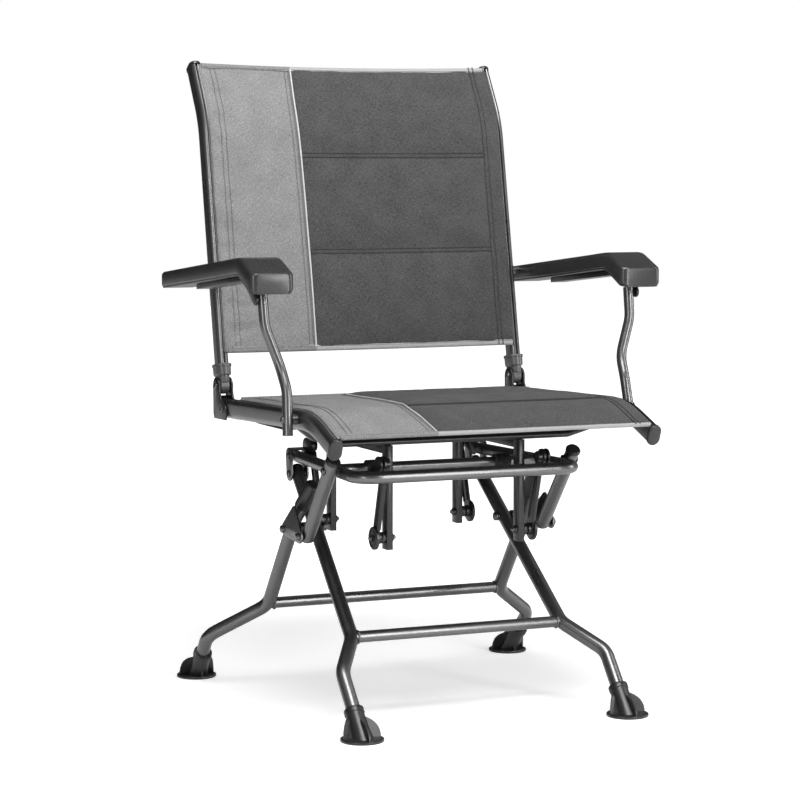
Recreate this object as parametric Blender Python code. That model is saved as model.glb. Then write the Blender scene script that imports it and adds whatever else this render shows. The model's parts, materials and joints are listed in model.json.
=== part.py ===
"""Folding outdoor chair on a gliding base: tubular frame, sling seat and back, folding crossed legs.

The chair faces -Y, +X is to the right as seen from in front, +Z is up and z = 0 is the floor.
Dimensions are in millimetres and become metres when a mesh is made.
"""

import math

import bmesh
import bpy
from mathutils import Vector

MM = 0.001
GAP = 0.3
# Shifts the model so that the origin is on the floor under the middle of its bounding box.
MIDDLE_Y = 23.0145

# Joint centres in the side plane, as (y, z).
LEG_PIVOT = (140.0, 351.0)
CROSS_PIVOT = (46.0, 275.0)
STRUT_TOP = (-113.0, 384.0)
STRUT_FOOT = (-21.0, 271.0)
LINK_TOP_FRONT = (-155.0, 395.0)
LINK_FOOT_FRONT = (-120.0, 277.0)
LINK_TOP_REAR = (147.0, 395.0)
LINK_FOOT_REAR = (112.0, 277.0)
BACK_PIVOT = (207.0, 492.0)
ARM_PIVOT = (250.0, 672.0)
ARM_STRUT_TOP = (-110.0, 649.0)
ARM_STRUT_FOOT = (-153.0, 469.0)

# Base.
RING_Z = 379.0
RING_RADIUS = 9.5
RING_FRONT_Y = -185.0
RING_REAR_Y = 152.0
RING_REAR_X = 161.0
RING_FLARE = 0.0842
RING_CORNER = 38.0
MID_BAR_Y = -59.0
MID_BAR_RADIUS = 8.5
BUMPER_X = 111.0
BUMPER_WIDTH = 26.0
BUMPER_RADIUS = 13.0

# Legs.
LEG_RADIUS = 11.0
REAR_LEG_X = 207.0
STRUT_X = 206.0
STRUT_RADIUS = 11.0
CROSSBAR_RADIUS = 9.0
FOOT_RADIUS = 33.0
FOOT_Y = 281.0
FOOT_SOCKET = {"front": 33.0, "rear": 44.0}

# Glider.
LINK_X = 132.7
LINK_THICK = 5.0
BOSS_THICK = 12.5
POST_X = 113.0
POST_SIZE = (10.0, 20.0)
POST_FOOT_Z = 258.5

# Seat and back frame.
RAIL_X = 265.0
RAIL_SECTION = (18.0, 32.0)
CROSS_SECTION = (20.0, 10.0)
SEAT_CROSS_FRONT = (-120.0, 426.0)
SEAT_CROSS_REAR = (112.0, 431.0)
SLING_THICK = 4.0
SLING_LIFT = RAIL_SECTION[1] / 2 + GAP + SLING_THICK
SLING_HALF = 262.0
SEAT_CROWN = 3.0
SEAT_REAR_Y = 142.0
BACK_SAG = 8.0
BACK_LEAN = math.radians(10.8)


def clear_scene():
    for item in list(bpy.data.objects):
        bpy.data.objects.remove(item, do_unlink=True)


def make_material(name, colour, roughness, metallic):
    mat = bpy.data.materials.new(name)
    mat.use_nodes = True
    shader = mat.node_tree.nodes["Principled BSDF"]
    shader.inputs["Base Color"].default_value = (*colour, 1.0)
    shader.inputs["Roughness"].default_value = roughness
    shader.inputs["Metallic"].default_value = metallic
    return mat


clear_scene()
PAINT = make_material("frame_paint", (0.055, 0.057, 0.06), 0.35, 0.4)
BLACK_STEEL = make_material("black_steel", (0.02, 0.02, 0.022), 0.45, 0.3)
ZINC = make_material("bolt_steel", (0.12, 0.12, 0.125), 0.35, 0.9)
PLASTIC = make_material("black_plastic", (0.018, 0.018, 0.02), 0.5, 0.0)
ARM_PLASTIC = make_material("arm_plastic", (0.035, 0.035, 0.038), 0.45, 0.0)
RUBBER = make_material("rubber", (0.012, 0.012, 0.012), 0.8, 0.0)
FABRIC = make_material("sling_fabric", (0.09, 0.09, 0.092), 0.9, 0.0)


def make_empty(name, position):
    empty = bpy.data.objects.new(name, None)
    empty.location = (Vector(position) - Vector((0, MIDDLE_Y, 0))) * MM
    bpy.context.scene.collection.objects.link(empty)
    return empty


def make_object(name, bm, mat, body, smooth=True):
    """Turns a bmesh in millimetres and world coordinates into an object held by a body's empty."""
    bmesh.ops.remove_doubles(bm, verts=bm.verts, dist=1e-4)
    bmesh.ops.recalc_face_normals(bm, faces=bm.faces)
    origin = body.location
    for vert in bm.verts:
        vert.co = (vert.co - Vector((0, MIDDLE_Y, 0))) * MM - origin
    mesh = bpy.data.meshes.new(name)
    bm.to_mesh(mesh)
    bm.free()
    if smooth:
        mesh.shade_smooth()
        mesh.set_sharp_from_angle(angle=math.radians(35))
    mesh.materials.append(mat)
    obj = bpy.data.objects.new(name, mesh)
    obj.parent = body
    bpy.context.scene.collection.objects.link(obj)
    return obj


def hide_tool(obj):
    obj.hide_render = True
    obj.display_type = "WIRE"


def boolean(obj, tool, operation):
    hide_tool(tool)
    modifier = obj.modifiers.new(operation.lower(), "BOOLEAN")
    modifier.operation = operation
    modifier.object = tool
    modifier.solver = "EXACT"


def cut(obj, *tools):
    for tool in tools:
        boolean(obj, tool, "DIFFERENCE")


def fuse(obj, *tools):
    for tool in tools:
        boolean(obj, tool, "UNION")


def round_section(radius, sides=14):
    turn = 2.0 * math.pi / sides
    return [(radius * math.cos(turn * (i + 0.5)), radius * math.sin(turn * (i + 0.5))) for i in range(sides)]


def oval_section(width, depth, steps=5):
    """A flat oval, width across and depth along, with its half rounds at both ends of the longer side."""
    flip = width > depth
    narrow, wide = (depth, width) if flip else (width, depth)
    radius = narrow / 2.0
    shift = wide / 2.0 - radius
    points = []
    for i in range(steps + 1):
        angle = math.pi * i / steps
        points.append((radius * math.cos(angle), shift + radius * math.sin(angle)))
    for i in range(steps + 1):
        angle = math.pi + math.pi * i / steps
        points.append((radius * math.cos(angle), -shift + radius * math.sin(angle)))
    return [(v, u) for u, v in points] if flip else points


def rounded_path(points, radius, steps=5):
    """The polyline with each inner corner replaced by a bend of about this radius."""
    points = [Vector(p) for p in points]
    path = [points[0]]
    for before, corner, after in zip(points, points[1:], points[2:]):
        into = (before - corner).normalized()
        out = (after - corner).normalized()
        half = into.angle(out) / 2.0
        reach = radius / math.tan(half)
        reach = min(reach, 0.45 * (before - corner).length, 0.45 * (after - corner).length)
        start = corner + into * reach
        end = corner + out * reach
        for i in range(steps + 1):
            t = i / steps
            path.append(start * (1 - t) ** 2 + corner * 2 * t * (1 - t) + end * t**2)
    path.append(points[-1])
    return path


def skin(bm, rings):
    """Bridges rings of vertices in order and caps both ends."""
    loops = [[bm.verts.new(p) for p in ring] for ring in rings]
    count = len(loops[0])
    for lower, upper in zip(loops, loops[1:]):
        for i in range(count):
            j = (i + 1) % count
            bm.faces.new((lower[i], lower[j], upper[j], upper[i]))
    bm.faces.new(loops[0])
    bm.faces.new(loops[-1])


def tube(name, path, section, mat, body, across=(1, 0, 0)):
    """A bar of one section along a path. The section's first axis stays as near as it can to `across`."""
    path = [Vector(p) for p in path]
    across = Vector(across)
    bm = bmesh.new()
    rings = []
    for i, point in enumerate(path):
        along = path[min(i + 1, len(path) - 1)] - path[max(i - 1, 0)]
        if 0 < i < len(path) - 1:
            along = (path[i + 1] - point).normalized() + (point - path[i - 1]).normalized()
        along.normalize()
        first = (across - along * across.dot(along)).normalized()
        second = along.cross(first)
        rings.append([point + first * u + second * v for u, v in section])
    skin(bm, rings)
    return make_object(name, bm, mat, body)


def turned(name, centre, profile, mat, body, sides=16):
    """A solid turned about a line parallel to X. The profile lists (x, radius) from end to end."""
    bm = bmesh.new()
    y, z = centre
    rings = []
    for x, radius in profile:
        rings.append([Vector((x, y + u, z + v)) for u, v in round_section(radius, sides)])
    skin(bm, rings)
    return make_object(name, bm, mat, body)


def plate(name, outline, x_from, x_to, mat, body):
    """A flat plate across X with an outline of (y, z) points."""
    bm = bmesh.new()
    face = bm.faces.new([bm.verts.new((x_from, y, z)) for y, z in outline])
    grown = bmesh.ops.extrude_face_region(bm, geom=[face])
    moved = [item for item in grown["geom"] if isinstance(item, bmesh.types.BMVert)]
    bmesh.ops.translate(bm, verts=moved, vec=(x_to - x_from, 0, 0))
    return make_object(name, bm, mat, body)


def box(name, low, high, mat, body):
    low, high = Vector(low), Vector(high)
    outline = [(low.y, low.z), (high.y, low.z), (high.y, high.z), (low.y, high.z)]
    return plate(name, outline, low.x, high.x, mat, body)


def hull_outline(circles, sides=16):
    """The convex outline round several circles, each given as ((y, z), radius)."""
    points = []
    for (y, z), radius in circles:
        points += [(y + u, z + v) for u, v in round_section(radius, sides)]
    points = sorted(set(points))
    chains = []
    for ordered in (points, points[::-1]):
        chain = []
        for p in ordered:
            while len(chain) > 1:
                (ay, az), (by, bz) = chain[-2], chain[-1]
                if (by - ay) * (p[1] - az) - (bz - az) * (p[0] - ay) > 1e-6:
                    break
                chain.pop()
            chain.append(p)
        chains.append(chain[:-1])
    return chains[0] + chains[1]


def at(x, side_point):
    return (x, side_point[0], side_point[1])


def ring_x(y):
    """Half the ring's width at a given y."""
    return RING_REAR_X + (150.0 - y) * RING_FLARE


base = make_empty("base_frame", (0, 0, 0))
front_legs = make_empty("front_leg_axis", at(0, LEG_PIVOT))
rear_legs = make_empty("rear_leg_axis", at(0, CROSS_PIVOT))
seat = make_empty("seat_axis", at(0, LINK_FOOT_FRONT))
back = make_empty("back_axis", at(0, BACK_PIVOT))

SIDES = (("left", -1), ("right", 1))


# Base ring: a tube bent to a U, open at the rear.
def ring_path():
    front_x = ring_x(RING_FRONT_Y)
    rear_x = ring_x(RING_REAR_Y)
    corners = [
        (-rear_x, RING_REAR_Y, RING_Z),
        (-front_x, RING_FRONT_Y, RING_Z),
        (front_x, RING_FRONT_Y, RING_Z),
        (rear_x, RING_REAR_Y, RING_Z),
    ]
    return rounded_path(corners, RING_CORNER, 6)


UP = (0, 0, 1)
tube("ring_tube", ring_path(), round_section(RING_RADIUS), PAINT, base, UP)
ring_cutter = tube("ring_cutter", ring_path(), round_section(RING_RADIUS + GAP), PAINT, base, UP)
mid_x = ring_x(MID_BAR_Y)
mid_path = [(-mid_x, MID_BAR_Y, RING_Z), (mid_x, MID_BAR_Y, RING_Z)]
mid_bar = tube("mid_bar", mid_path, round_section(MID_BAR_RADIUS), PAINT, base, UP)
cut(mid_bar, ring_cutter)


def make_bumper(word, side):
    half = BUMPER_WIDTH / 2
    centre = (MID_BAR_Y, RING_Z)
    ends = sorted((side * BUMPER_X - half, side * BUMPER_X + half))
    profile = [(ends[0], BUMPER_RADIUS - 1), (ends[0] + 1, BUMPER_RADIUS)]
    profile += [(ends[1] - 1, BUMPER_RADIUS), (ends[1], BUMPER_RADIUS - 1)]
    sleeve = turned("bumper_" + word, centre, profile, RUBBER, base)
    bore = turned(
        "bumper_bore_" + word,
        centre,
        [(ends[0] - 5, MID_BAR_RADIUS + GAP), (ends[1] + 5, MID_BAR_RADIUS + GAP)],
        RUBBER,
        base,
    )
    cut(sleeve, bore)


def make_knuckle(word, side):
    """An inverted U strap over the ring's rear end, whose cheeks hold the front leg's top."""
    x = side * RING_REAR_X
    gap, thick = LEG_RADIUS + 1.3, 2.7
    outer = hull_outline([((142, 380.5), 13), (LEG_PIVOT, 12)])
    knuckle = plate("knuckle_" + word, outer, x - gap - thick, x + gap + thick, PAINT, base)
    slot = box("knuckle_slot_" + word, (x - gap, 100, 300), (x + gap, 180, 389.2), PAINT, base)
    cut(knuckle, slot)
    cap = turned(
        "knuckle_rivet_" + word,
        LEG_PIVOT,
        [(x - gap - thick - 2.5, 4), (x - gap - thick + 1, 5), (x + gap + thick - 1, 5), (x + gap + thick + 3, 4)],
        ZINC,
        base,
        10,
    )
    fuse(knuckle, cap)


def make_ear(name, side, top, root_y):
    """The hanger that carries a glider link's top bearing inboard of the ring."""
    inner, outer = 141.0, 144.5
    outline = hull_outline([(top, 13), ((root_y, RING_Z), 8)])
    ear = plate(name, outline, side * inner, side * outer, BLACK_STEEL, base)
    reach = ring_x(root_y)
    low = (min(side * 142, side * reach), root_y - 8, RING_Z - 4)
    high = (max(side * 142, side * reach), root_y + 8, RING_Z + 4)
    gusset = box(name + "_gusset", low, high, BLACK_STEEL, base)
    stub = turned(name + "_stub", top, [(side * 129.5, 4.8), (side * 142, 4.8)], ZINC, base)
    fuse(ear, gusset, stub)
    cut(ear, ring_cutter)


for word, side in SIDES:
    make_bumper(word, side)
    make_knuckle(word, side)
    make_ear("link_ear_front_" + word, side, LINK_TOP_FRONT, -128)
    make_ear("link_ear_rear_" + word, side, LINK_TOP_REAR, 112)


# Legs.
def front_leg_path(side):
    points = [(159.9, 149, 358.3), (180, -137, 127), (224, -206, 89), (223, -269, 16)]
    return rounded_path([(side * x, y, z) for x, y, z in points], 42, 4)


def rear_leg_path(side):
    points = [(199.8, 12, 320.2), (207.6, 36, 288.4), (209, 151, 136), (294, 211, 80), (289, 269, 16)]
    return rounded_path([(side * x, y, z) for x, y, z in points], 42, 4)


def make_foot(name, path, socket, mat, body):
    """A round plastic boot: a flat base that narrows into a socket round the leg's end."""
    end = Vector(path[-1])
    up = (Vector(path[-2]) - end).normalized()
    centre = Vector((end.x, math.copysign(FOOT_Y, end.y), 0))
    bm = bmesh.new()
    rings = []
    for height, radius in ((0, FOOT_RADIUS - 1.5), (1.5, FOOT_RADIUS), (6, FOOT_RADIUS), (10, FOOT_RADIUS - 6)):
        rings.append([centre + Vector((u, v, height)) for u, v in round_section(radius, 20)])
    first = (Vector((1, 0, 0)) - up * up.x).normalized()
    second = up.cross(first)
    for reach, radius in ((20, 17), (socket, 14.2)):
        middle = end + up * reach
        rings.append([middle + first * u + second * v for u, v in round_section(radius, 20)])
    skin(bm, rings)
    return make_object(name, bm, mat, body)


def make_legs(kind, path_of, body, crossbar_y, crossbar_z, bores):
    cutters = []
    for word, side in SIDES:
        path = path_of(side)
        leg = tube(f"{kind}_leg_{word}", path, round_section(LEG_RADIUS), PAINT, body)
        for index, centre in enumerate(bores):
            bore = turned(
                f"{kind}_leg_bore_{word}_{index}",
                centre,
                [(side * 130, 5.4), (side * 240, 5.4)],
                PAINT,
                body,
                12,
            )
            cut(leg, bore)
        deeper = path[-1] + (path[-1] - path[-2]).normalized() * 2 * GAP
        grown = round_section(LEG_RADIUS + GAP)
        cutter = tube(f"{kind}_leg_cutter_{word}", path[:-1] + [deeper], grown, PAINT, body)
        foot = make_foot(f"{kind}_foot_{word}", path, FOOT_SOCKET[kind], PLASTIC, body)
        cut(foot, cutter)
        cutters.append(cutter)
    reach = abs(path_of(1)[3].x)
    line = [(-reach, crossbar_y, crossbar_z), (reach, crossbar_y, crossbar_z)]
    bar = tube(kind + "_crossbar", line, round_section(CROSSBAR_RADIUS), PAINT, body, UP)
    cut(bar, *cutters)


make_legs("front", front_leg_path, front_legs, -137, 128, (LEG_PIVOT, CROSS_PIVOT))
make_legs("rear", rear_leg_path, rear_legs, 148, 139, (CROSS_PIVOT,))


def make_crossing_bolt(word, side):
    """The bolt where front and rear leg cross, with the spacer that keeps them apart."""
    profile = [(149.5, 5.5), (150, 7), (155.2, 7), (155.3, 4.6), (179.6, 4.6), (179.7, 9), (195.4, 9)]
    profile += [(195.5, 4.6), (216, 4.6)]
    turned("crossing_bolt_" + word, CROSS_PIVOT, [(side * x, r) for x, r in profile], ZINC, front_legs)


def make_strut_bracket(word, side):
    """A rounded plate on the rear leg's top end, with a lobe that receives the strut's foot."""
    outline = hull_outline([(STRUT_FOOT, 11), (CROSS_PIVOT, 9), ((2, 311), 6)])
    bracket = plate("strut_bracket_" + word, outline, side * 218.9, side * 222.1, PAINT, rear_legs)
    heads = []
    for index, centre in enumerate((STRUT_FOOT, CROSS_PIVOT)):
        profile = [(side * 221.3, 6), (side * 226.1, 6), (side * 227.1, 4.5)]
        heads.append(turned(f"strut_bracket_head_{word}_{index}", centre, profile, ZINC, rear_legs, 12))
    fuse(bracket, *heads)


def make_strut(word, side):
    """The brace from the ring's side down to the bracket on the rear leg."""
    axis = make_empty("strut_axis_" + word, at(side * STRUT_X, STRUT_TOP))
    top, foot = Vector(STRUT_TOP), Vector(STRUT_FOOT)
    along = (foot - top).normalized()
    x = side * STRUT_X
    start = top - along * 18
    end = foot + along * 4
    path = [at(x, start), at(x, end)]
    strut = tube("strut_" + word, path, round_section(STRUT_RADIUS), PAINT, axis)
    tip = turned("strut_tip_" + word, end, [(x - 10.4, 8), (x - 6, 10.6), (x + 6, 10.6), (x + 10.4, 8)], PAINT, axis)
    ring_side = ring_x(STRUT_TOP[0])
    stub = turned("strut_stub_" + word, STRUT_TOP, [(side * (ring_side + 1), 5), (side * 222, 5)], ZINC, axis, 12)
    fuse(strut, tip, stub)
    cut(strut, ring_cutter)
    cap_from = start - along * (GAP + 0.2)
    cap_to = start - along * 6
    ring = round_section(STRUT_RADIUS + 0.8)
    tube("strut_plug_" + word, [at(x, cap_to), at(x, cap_from)], ring, PLASTIC, axis)


for word, side in SIDES:
    make_crossing_bolt(word, side)
    make_strut_bracket(word, side)
    make_strut(word, side)


# Glider links: a strap with a round bearing housing at each end.
def make_link(name, side, top, foot, foot_bore):
    axis = make_empty(name + "_axis", at(side * LINK_X, top))
    half = LINK_THICK / 2
    boss = BOSS_THICK / 2
    outline = hull_outline([(top, 9), (foot, 9)])
    link = plate(name, outline, side * (LINK_X - half), side * (LINK_X + half), BLACK_STEEL, axis)
    low, high = side * (LINK_X - boss), side * (LINK_X + boss)
    housings = [
        turned(name + "_housing_top", top, [(low, 13), (high, 13)], BLACK_STEEL, axis, 18),
        turned(name + "_housing_foot", foot, [(low, 18), (high, 18)], BLACK_STEEL, axis, 20),
    ]
    fuse(link, *housings)
    bores = [
        turned(name + "_bore_top", top, [(side * 129.2, 5.3), (side * 145, 5.3)], ZINC, axis),
        turned(name + "_bore_foot", foot, [(side * 120, foot_bore), (side * 136, foot_bore)], ZINC, axis),
    ]
    cut(link, *bores)


for word, side in SIDES:
    make_link("link_front_" + word, side, LINK_TOP_FRONT, LINK_FOOT_FRONT, 5.3)
    make_link("link_rear_" + word, side, LINK_TOP_REAR, LINK_FOOT_REAR, 9.2)


# Seat frame.
def rail_path(side):
    points = [(RAIL_X, 212, 457), (RAIL_X, -192, 470), (RAIL_X, -279, 437)]
    return rounded_path([(side * x, y, z) for x, y, z in points], 90, 6)


def make_plug(name, end, along, section, mat, body, thick=6.0):
    """An end plug, set just off the tube's end and slightly proud of its section."""
    along = Vector(along).normalized()
    start = Vector(end) + along * (GAP + 0.1)
    path = [start, start + along * (thick - 1.5), start + along * thick]
    tube(name, path[:2], section, mat, body)


rail_cutters = []
for word, side in SIDES:
    path = rail_path(side)
    tube("seat_rail_" + word, path, oval_section(*RAIL_SECTION), PAINT, seat)
    grown = oval_section(RAIL_SECTION[0] + 2 * GAP, RAIL_SECTION[1] + 2 * GAP)
    rail_cutters.append(tube("rail_cutter_" + word, path, grown, PAINT, seat))
    make_plug("rail_cap_" + word, path[-1], path[-1] - path[-2], oval_section(21, 34), PLASTIC, seat)


def make_seat_cross(name, centre, rise):
    """A flat tube under the seat, its ends bent up to the rails."""
    y, z = centre
    points = [(262, z + rise), (236, z + 11), (196, z)]
    path = [(-x, y, h) for x, h in points] + [(x, y, h) for x, h in reversed(points)]
    bar = tube(name, rounded_path(path, 30, 2), oval_section(10, 20, 3), PAINT, seat, UP)
    cut(bar, *rail_cutters)


make_seat_cross("seat_cross_front", SEAT_CROSS_FRONT, 31)
make_seat_cross("seat_cross_rear", SEAT_CROSS_REAR, 23)


def make_post(name, side, foot, top_z, stub_radius):
    """A hanger post with the stub axle of its glider link near the bottom."""
    y = foot[0]
    half_x, half_y = POST_SIZE[0] / 2, POST_SIZE[1] / 2
    low = (side * POST_X - half_x, y - half_y, POST_FOOT_Z)
    high = (side * POST_X + half_x, y + half_y, top_z)
    post = box(name, low, high, PAINT, seat)
    axle = [(103.5, 4.5), (104.5, 6.5), (109, 6.5), (109.1, stub_radius), (123.8, stub_radius)]
    axle += [(135, stub_radius)]
    stub = turned(name + "_axle", foot, [(side * x, r) for x, r in axle], ZINC, seat, 14)
    fuse(post, stub)


for word, side in SIDES:
    front_top = SEAT_CROSS_FRONT[1] - 5 - GAP
    rear_top = SEAT_CROSS_REAR[1] - 5 - GAP
    make_post("post_front_" + word, side, LINK_FOOT_FRONT, front_top, 4.8)
    make_post("post_rear_" + word, side, LINK_FOOT_REAR, rear_top, 4.2)
    x = side * POST_X
    low = (x - 5, LINK_FOOT_FRONT[0] + 10 + GAP, 407)
    high = (x + 5, LINK_FOOT_REAR[0] - 10 - GAP, 419)
    box("seat_bar_" + word, low, high, PAINT, seat)


def make_sling(name, path, lift, half_width, sag, thick, mat, body, columns=8):
    """A sheet stretched from slot to slot of two side tubes, whose (y, z) line it follows a lift away. It sags mid-way."""
    path = [Vector(p) for p in path]
    bm = bmesh.new()
    rings = []
    for i, point in enumerate(path):
        along = (path[min(i + 1, len(path) - 1)] - path[max(i - 1, 0)]).normalized()
        down = Vector((-along.y, along.x))
        rows = []
        for depth in (0.0, thick):
            row = []
            for j in range(columns + 1):
                share = 2.0 * j / columns - 1.0
                offset = point + down * (sag * (1 - share**2) + depth - lift)
                row.append(Vector((share * half_width, offset.x, offset.y)))
            rows.append(row)
        rings.append(rows[0] + rows[1][::-1])
    skin(bm, rings)
    make_object(name, bm, mat, body)


def seat_line():
    """The rails' centre line from the seat's rear hem to the rails' front ends."""
    points = [(point.y, point.z) for point in rail_path(1)]
    (y0, z0), (y1, z1) = points[:2]
    points[0] = (SEAT_REAR_Y, z0 + (z1 - z0) * (SEAT_REAR_Y - y0) / (y1 - y0))
    return points


make_sling("seat_sling", seat_line(), SLING_LIFT, SLING_HALF, -SEAT_CROWN, SLING_THICK, FABRIC, seat)


def make_hinge_bracket(word, side):
    """A channel on the rail's rear end whose two cheeks carry the back's hinge pin."""
    y, z = BACK_PIVOT
    outline = [(y + 15 * math.cos(a), z + 15 * math.sin(a)) for a in (math.pi * i / 8 for i in range(9))]
    outline += [(191.7, 482), (187, 473), (164, 463), (158, 449), (164, 440), (217, 439), (221, 446)]
    x = side * RAIL_X
    half, thick = RAIL_SECTION[0] / 2 + GAP, 3.0
    bracket = plate("hinge_bracket_" + word, outline, x - half - thick, x + half + thick, BLACK_STEEL, seat)
    slot = box("hinge_slot_" + word, (x - half, 120, 400), (x + half, 213.5, 530), BLACK_STEEL, seat)
    clear = box("hinge_clear_" + word, (x - half, 200, 475.5), (x + half, 260, 530), BLACK_STEEL, seat)
    cut(bracket, slot, clear)
    pin_ends = [(x - half - thick - 3, 5), (x - half - thick, 6), (x + half + thick, 6), (x + half + thick + 3, 5)]
    pin = turned("hinge_pin_" + word, BACK_PIVOT, pin_ends, ZINC, seat, 12)
    fuse(bracket, pin)


for word, side in SIDES:
    make_hinge_bracket(word, side)


# Back frame.
def upright_line():
    """The side tube's centre line as (y, z): a straight lean, then a bend further back near the top."""
    y, z = BACK_PIVOT
    start = (y + 4.0, z + 21)
    knee_z = 925.0
    knee = (start[0] + (knee_z - start[1]) * math.tan(BACK_LEAN), knee_z)
    return [start, knee, (343, 1011.5)]


def upright_path(side):
    return rounded_path([at(side * RAIL_X, p) for p in upright_line()], 170, 7)


def make_sleeve(word, side):
    """The moulded hinge sleeve: a socket for the upright and a tongue round the hinge pin."""
    y, z = BACK_PIVOT
    lean = math.radians(11)
    along = Vector((math.sin(lean), math.cos(lean)))
    out = Vector((math.cos(lean), -math.sin(lean)))
    pivot = Vector((y, z))
    corners = [pivot + along * s + out * w for s, w in ((17, -17), (17, 19), (34, 19), (36, 18), (36, -17), (34, -18))]
    x = side * RAIL_X
    sleeve = plate("hinge_sleeve_" + word, [(c.x, c.y) for c in corners], x - 12.5, x + 12.5, PLASTIC, back)
    neck = [(pivot, 13), (pivot + along * 22, 11)]
    tongue_outline = hull_outline([((c.x, c.y), r) for c, r in neck])
    tongue = plate("hinge_tongue_" + word, tongue_outline, x - 8.2, x + 8.2, PLASTIC, back)
    fuse(sleeve, tongue)
    grown = oval_section(RAIL_SECTION[0] + 2 * GAP, RAIL_SECTION[1] + 2 * GAP)
    pocket = tube("sleeve_pocket_" + word, upright_path(side), grown, PLASTIC, back)
    bore = turned("hinge_bore_" + word, BACK_PIVOT, [(x - 12, 6.5), (x + 12, 6.5)], PLASTIC, back, 12)
    cut(sleeve, pocket, bore)


for word, side in SIDES:
    path = upright_path(side)
    tube("back_upright_" + word, path, oval_section(*RAIL_SECTION), PAINT, back)
    make_plug("upright_cap_" + word, path[-1], path[-1] - path[-2], oval_section(20, 34), PLASTIC, back)
    make_sleeve(word, side)


def back_line():
    """The side tubes' centre line from the back's top hem down to its bottom hem."""
    path = [Vector((p.y, p.z)) for p in upright_path(1)]
    foot = path[0].lerp(path[1], (546.0 - path[0].y) / (path[1].y - path[0].y))
    line = [foot] + path[1:]
    return [(p.x, p.y) for p in reversed(line)]


make_sling("back_sling", back_line(), SLING_LIFT, SLING_HALF, BACK_SAG, SLING_THICK, FABRIC, back)


# Armrests.
def make_armrest(word, side):
    """A moulded rest: a long narrow rear part that rises to a wide pad, which then falls to its front."""
    stations = [
        (281, 295, 343, 653.0, 675.0),
        (277, 292, 346, 650.5, 677.5),
        (-46, 280, 347.5, 681.0, 708.0),
        (-90, 277.2, 348, 685.5, 712.0),
        (-103, 277.2, 348, 685.0, 710.5),
        (-149, 277.2, 348, 658.5, 689.5),
        (-153, 280, 345, 658.0, 686.0),
    ]
    axis = make_empty("arm_axis_" + word, at(side * 320, ARM_PIVOT))
    bm = bmesh.new()
    rings = []
    for y, x_in, x_out, z_low, z_high in stations:
        soft, top = 3.0, 6.0
        outline = [(x_in + soft, z_low), (x_out - soft, z_low), (x_out, z_low + soft), (x_out, z_high - top)]
        outline += [(x_out - 2, z_high - 2), (x_out - top, z_high), (x_in + top, z_high), (x_in + 2, z_high - 2)]
        outline += [(x_in, z_high - top), (x_in, z_low + soft)]
        rings.append([Vector((side * x, y, z)) for x, z in outline])
    skin(bm, rings)
    rest = make_object("armrest_" + word, bm, ARM_PLASTIC, axis)
    boss = turned("arm_boss_" + word, ARM_PIVOT, [(side * 274.6, 7), (side * 296, 9)], ZINC, axis, 14)
    fuse(rest, boss)
    bar = plate(
        "arm_bar_" + word,
        [(148, 661.9), (-84, 683.4), (-88, 681), (-88, 676), (-84, 675.4), (148, 654)],
        side * 303,
        side * 330,
        BLACK_STEEL,
        axis,
    )
    tab_outline = hull_outline([(ARM_STRUT_TOP, 9), ((-86, 673), 5), ((-70, 675), 5)], 12)
    fuse(bar, plate("arm_tab_" + word, tab_outline, side * 323, side * 327, BLACK_STEEL, axis))


def make_arm_strut(word, side):
    """The S-bent tube from the seat rail up to the armrest."""
    axis = make_empty("arm_strut_axis_" + word, at(side * 291, ARM_STRUT_FOOT))
    points = [(313, -107, 656), (312, -115, 608), (291, -124, 548), (287, -146, 512), (291, -156, 459)]
    path = rounded_path([(side * x, y, z) for x, y, z in points], 70, 3)
    strut = tube("arm_strut_" + word, path, round_section(8, 12), PAINT, axis)
    profile = [(274.5, 6), (303, 6), (304, 4)]
    bolt = turned("arm_strut_bolt_" + word, ARM_STRUT_FOOT, [(side * x, r) for x, r in profile], ZINC, axis, 12)
    fuse(strut, bolt)


for word, side in SIDES:
    make_armrest(word, side)
    make_arm_strut(word, side)
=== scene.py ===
"""Looks of the folding glider armchair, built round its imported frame."""

import json
import math

import bmesh
import bpy
import numpy as np
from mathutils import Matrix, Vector, noise

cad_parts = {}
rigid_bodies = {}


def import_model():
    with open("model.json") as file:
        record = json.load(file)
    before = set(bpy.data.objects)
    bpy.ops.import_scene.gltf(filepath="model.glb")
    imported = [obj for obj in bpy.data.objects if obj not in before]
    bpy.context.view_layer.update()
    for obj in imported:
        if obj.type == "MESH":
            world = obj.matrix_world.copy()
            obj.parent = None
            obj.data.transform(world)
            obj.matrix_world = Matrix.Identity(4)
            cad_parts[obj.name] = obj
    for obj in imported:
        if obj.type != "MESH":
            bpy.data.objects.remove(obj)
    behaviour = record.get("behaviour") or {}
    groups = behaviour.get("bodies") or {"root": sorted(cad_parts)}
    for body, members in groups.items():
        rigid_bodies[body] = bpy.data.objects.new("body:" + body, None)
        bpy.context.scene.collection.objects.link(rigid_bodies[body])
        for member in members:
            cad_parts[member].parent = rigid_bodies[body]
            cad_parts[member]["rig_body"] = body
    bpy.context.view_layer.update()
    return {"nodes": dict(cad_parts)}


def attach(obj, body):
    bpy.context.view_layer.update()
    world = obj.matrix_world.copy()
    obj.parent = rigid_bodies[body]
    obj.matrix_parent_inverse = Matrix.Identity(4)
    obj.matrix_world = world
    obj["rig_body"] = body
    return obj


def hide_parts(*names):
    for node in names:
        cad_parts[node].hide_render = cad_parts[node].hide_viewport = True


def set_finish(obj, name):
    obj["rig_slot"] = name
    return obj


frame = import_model()

# The design frame is in millimetres. The row frame's origin lies this far behind its own.
MM = 0.001
MIDDLE_Y = 23.0145

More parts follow.
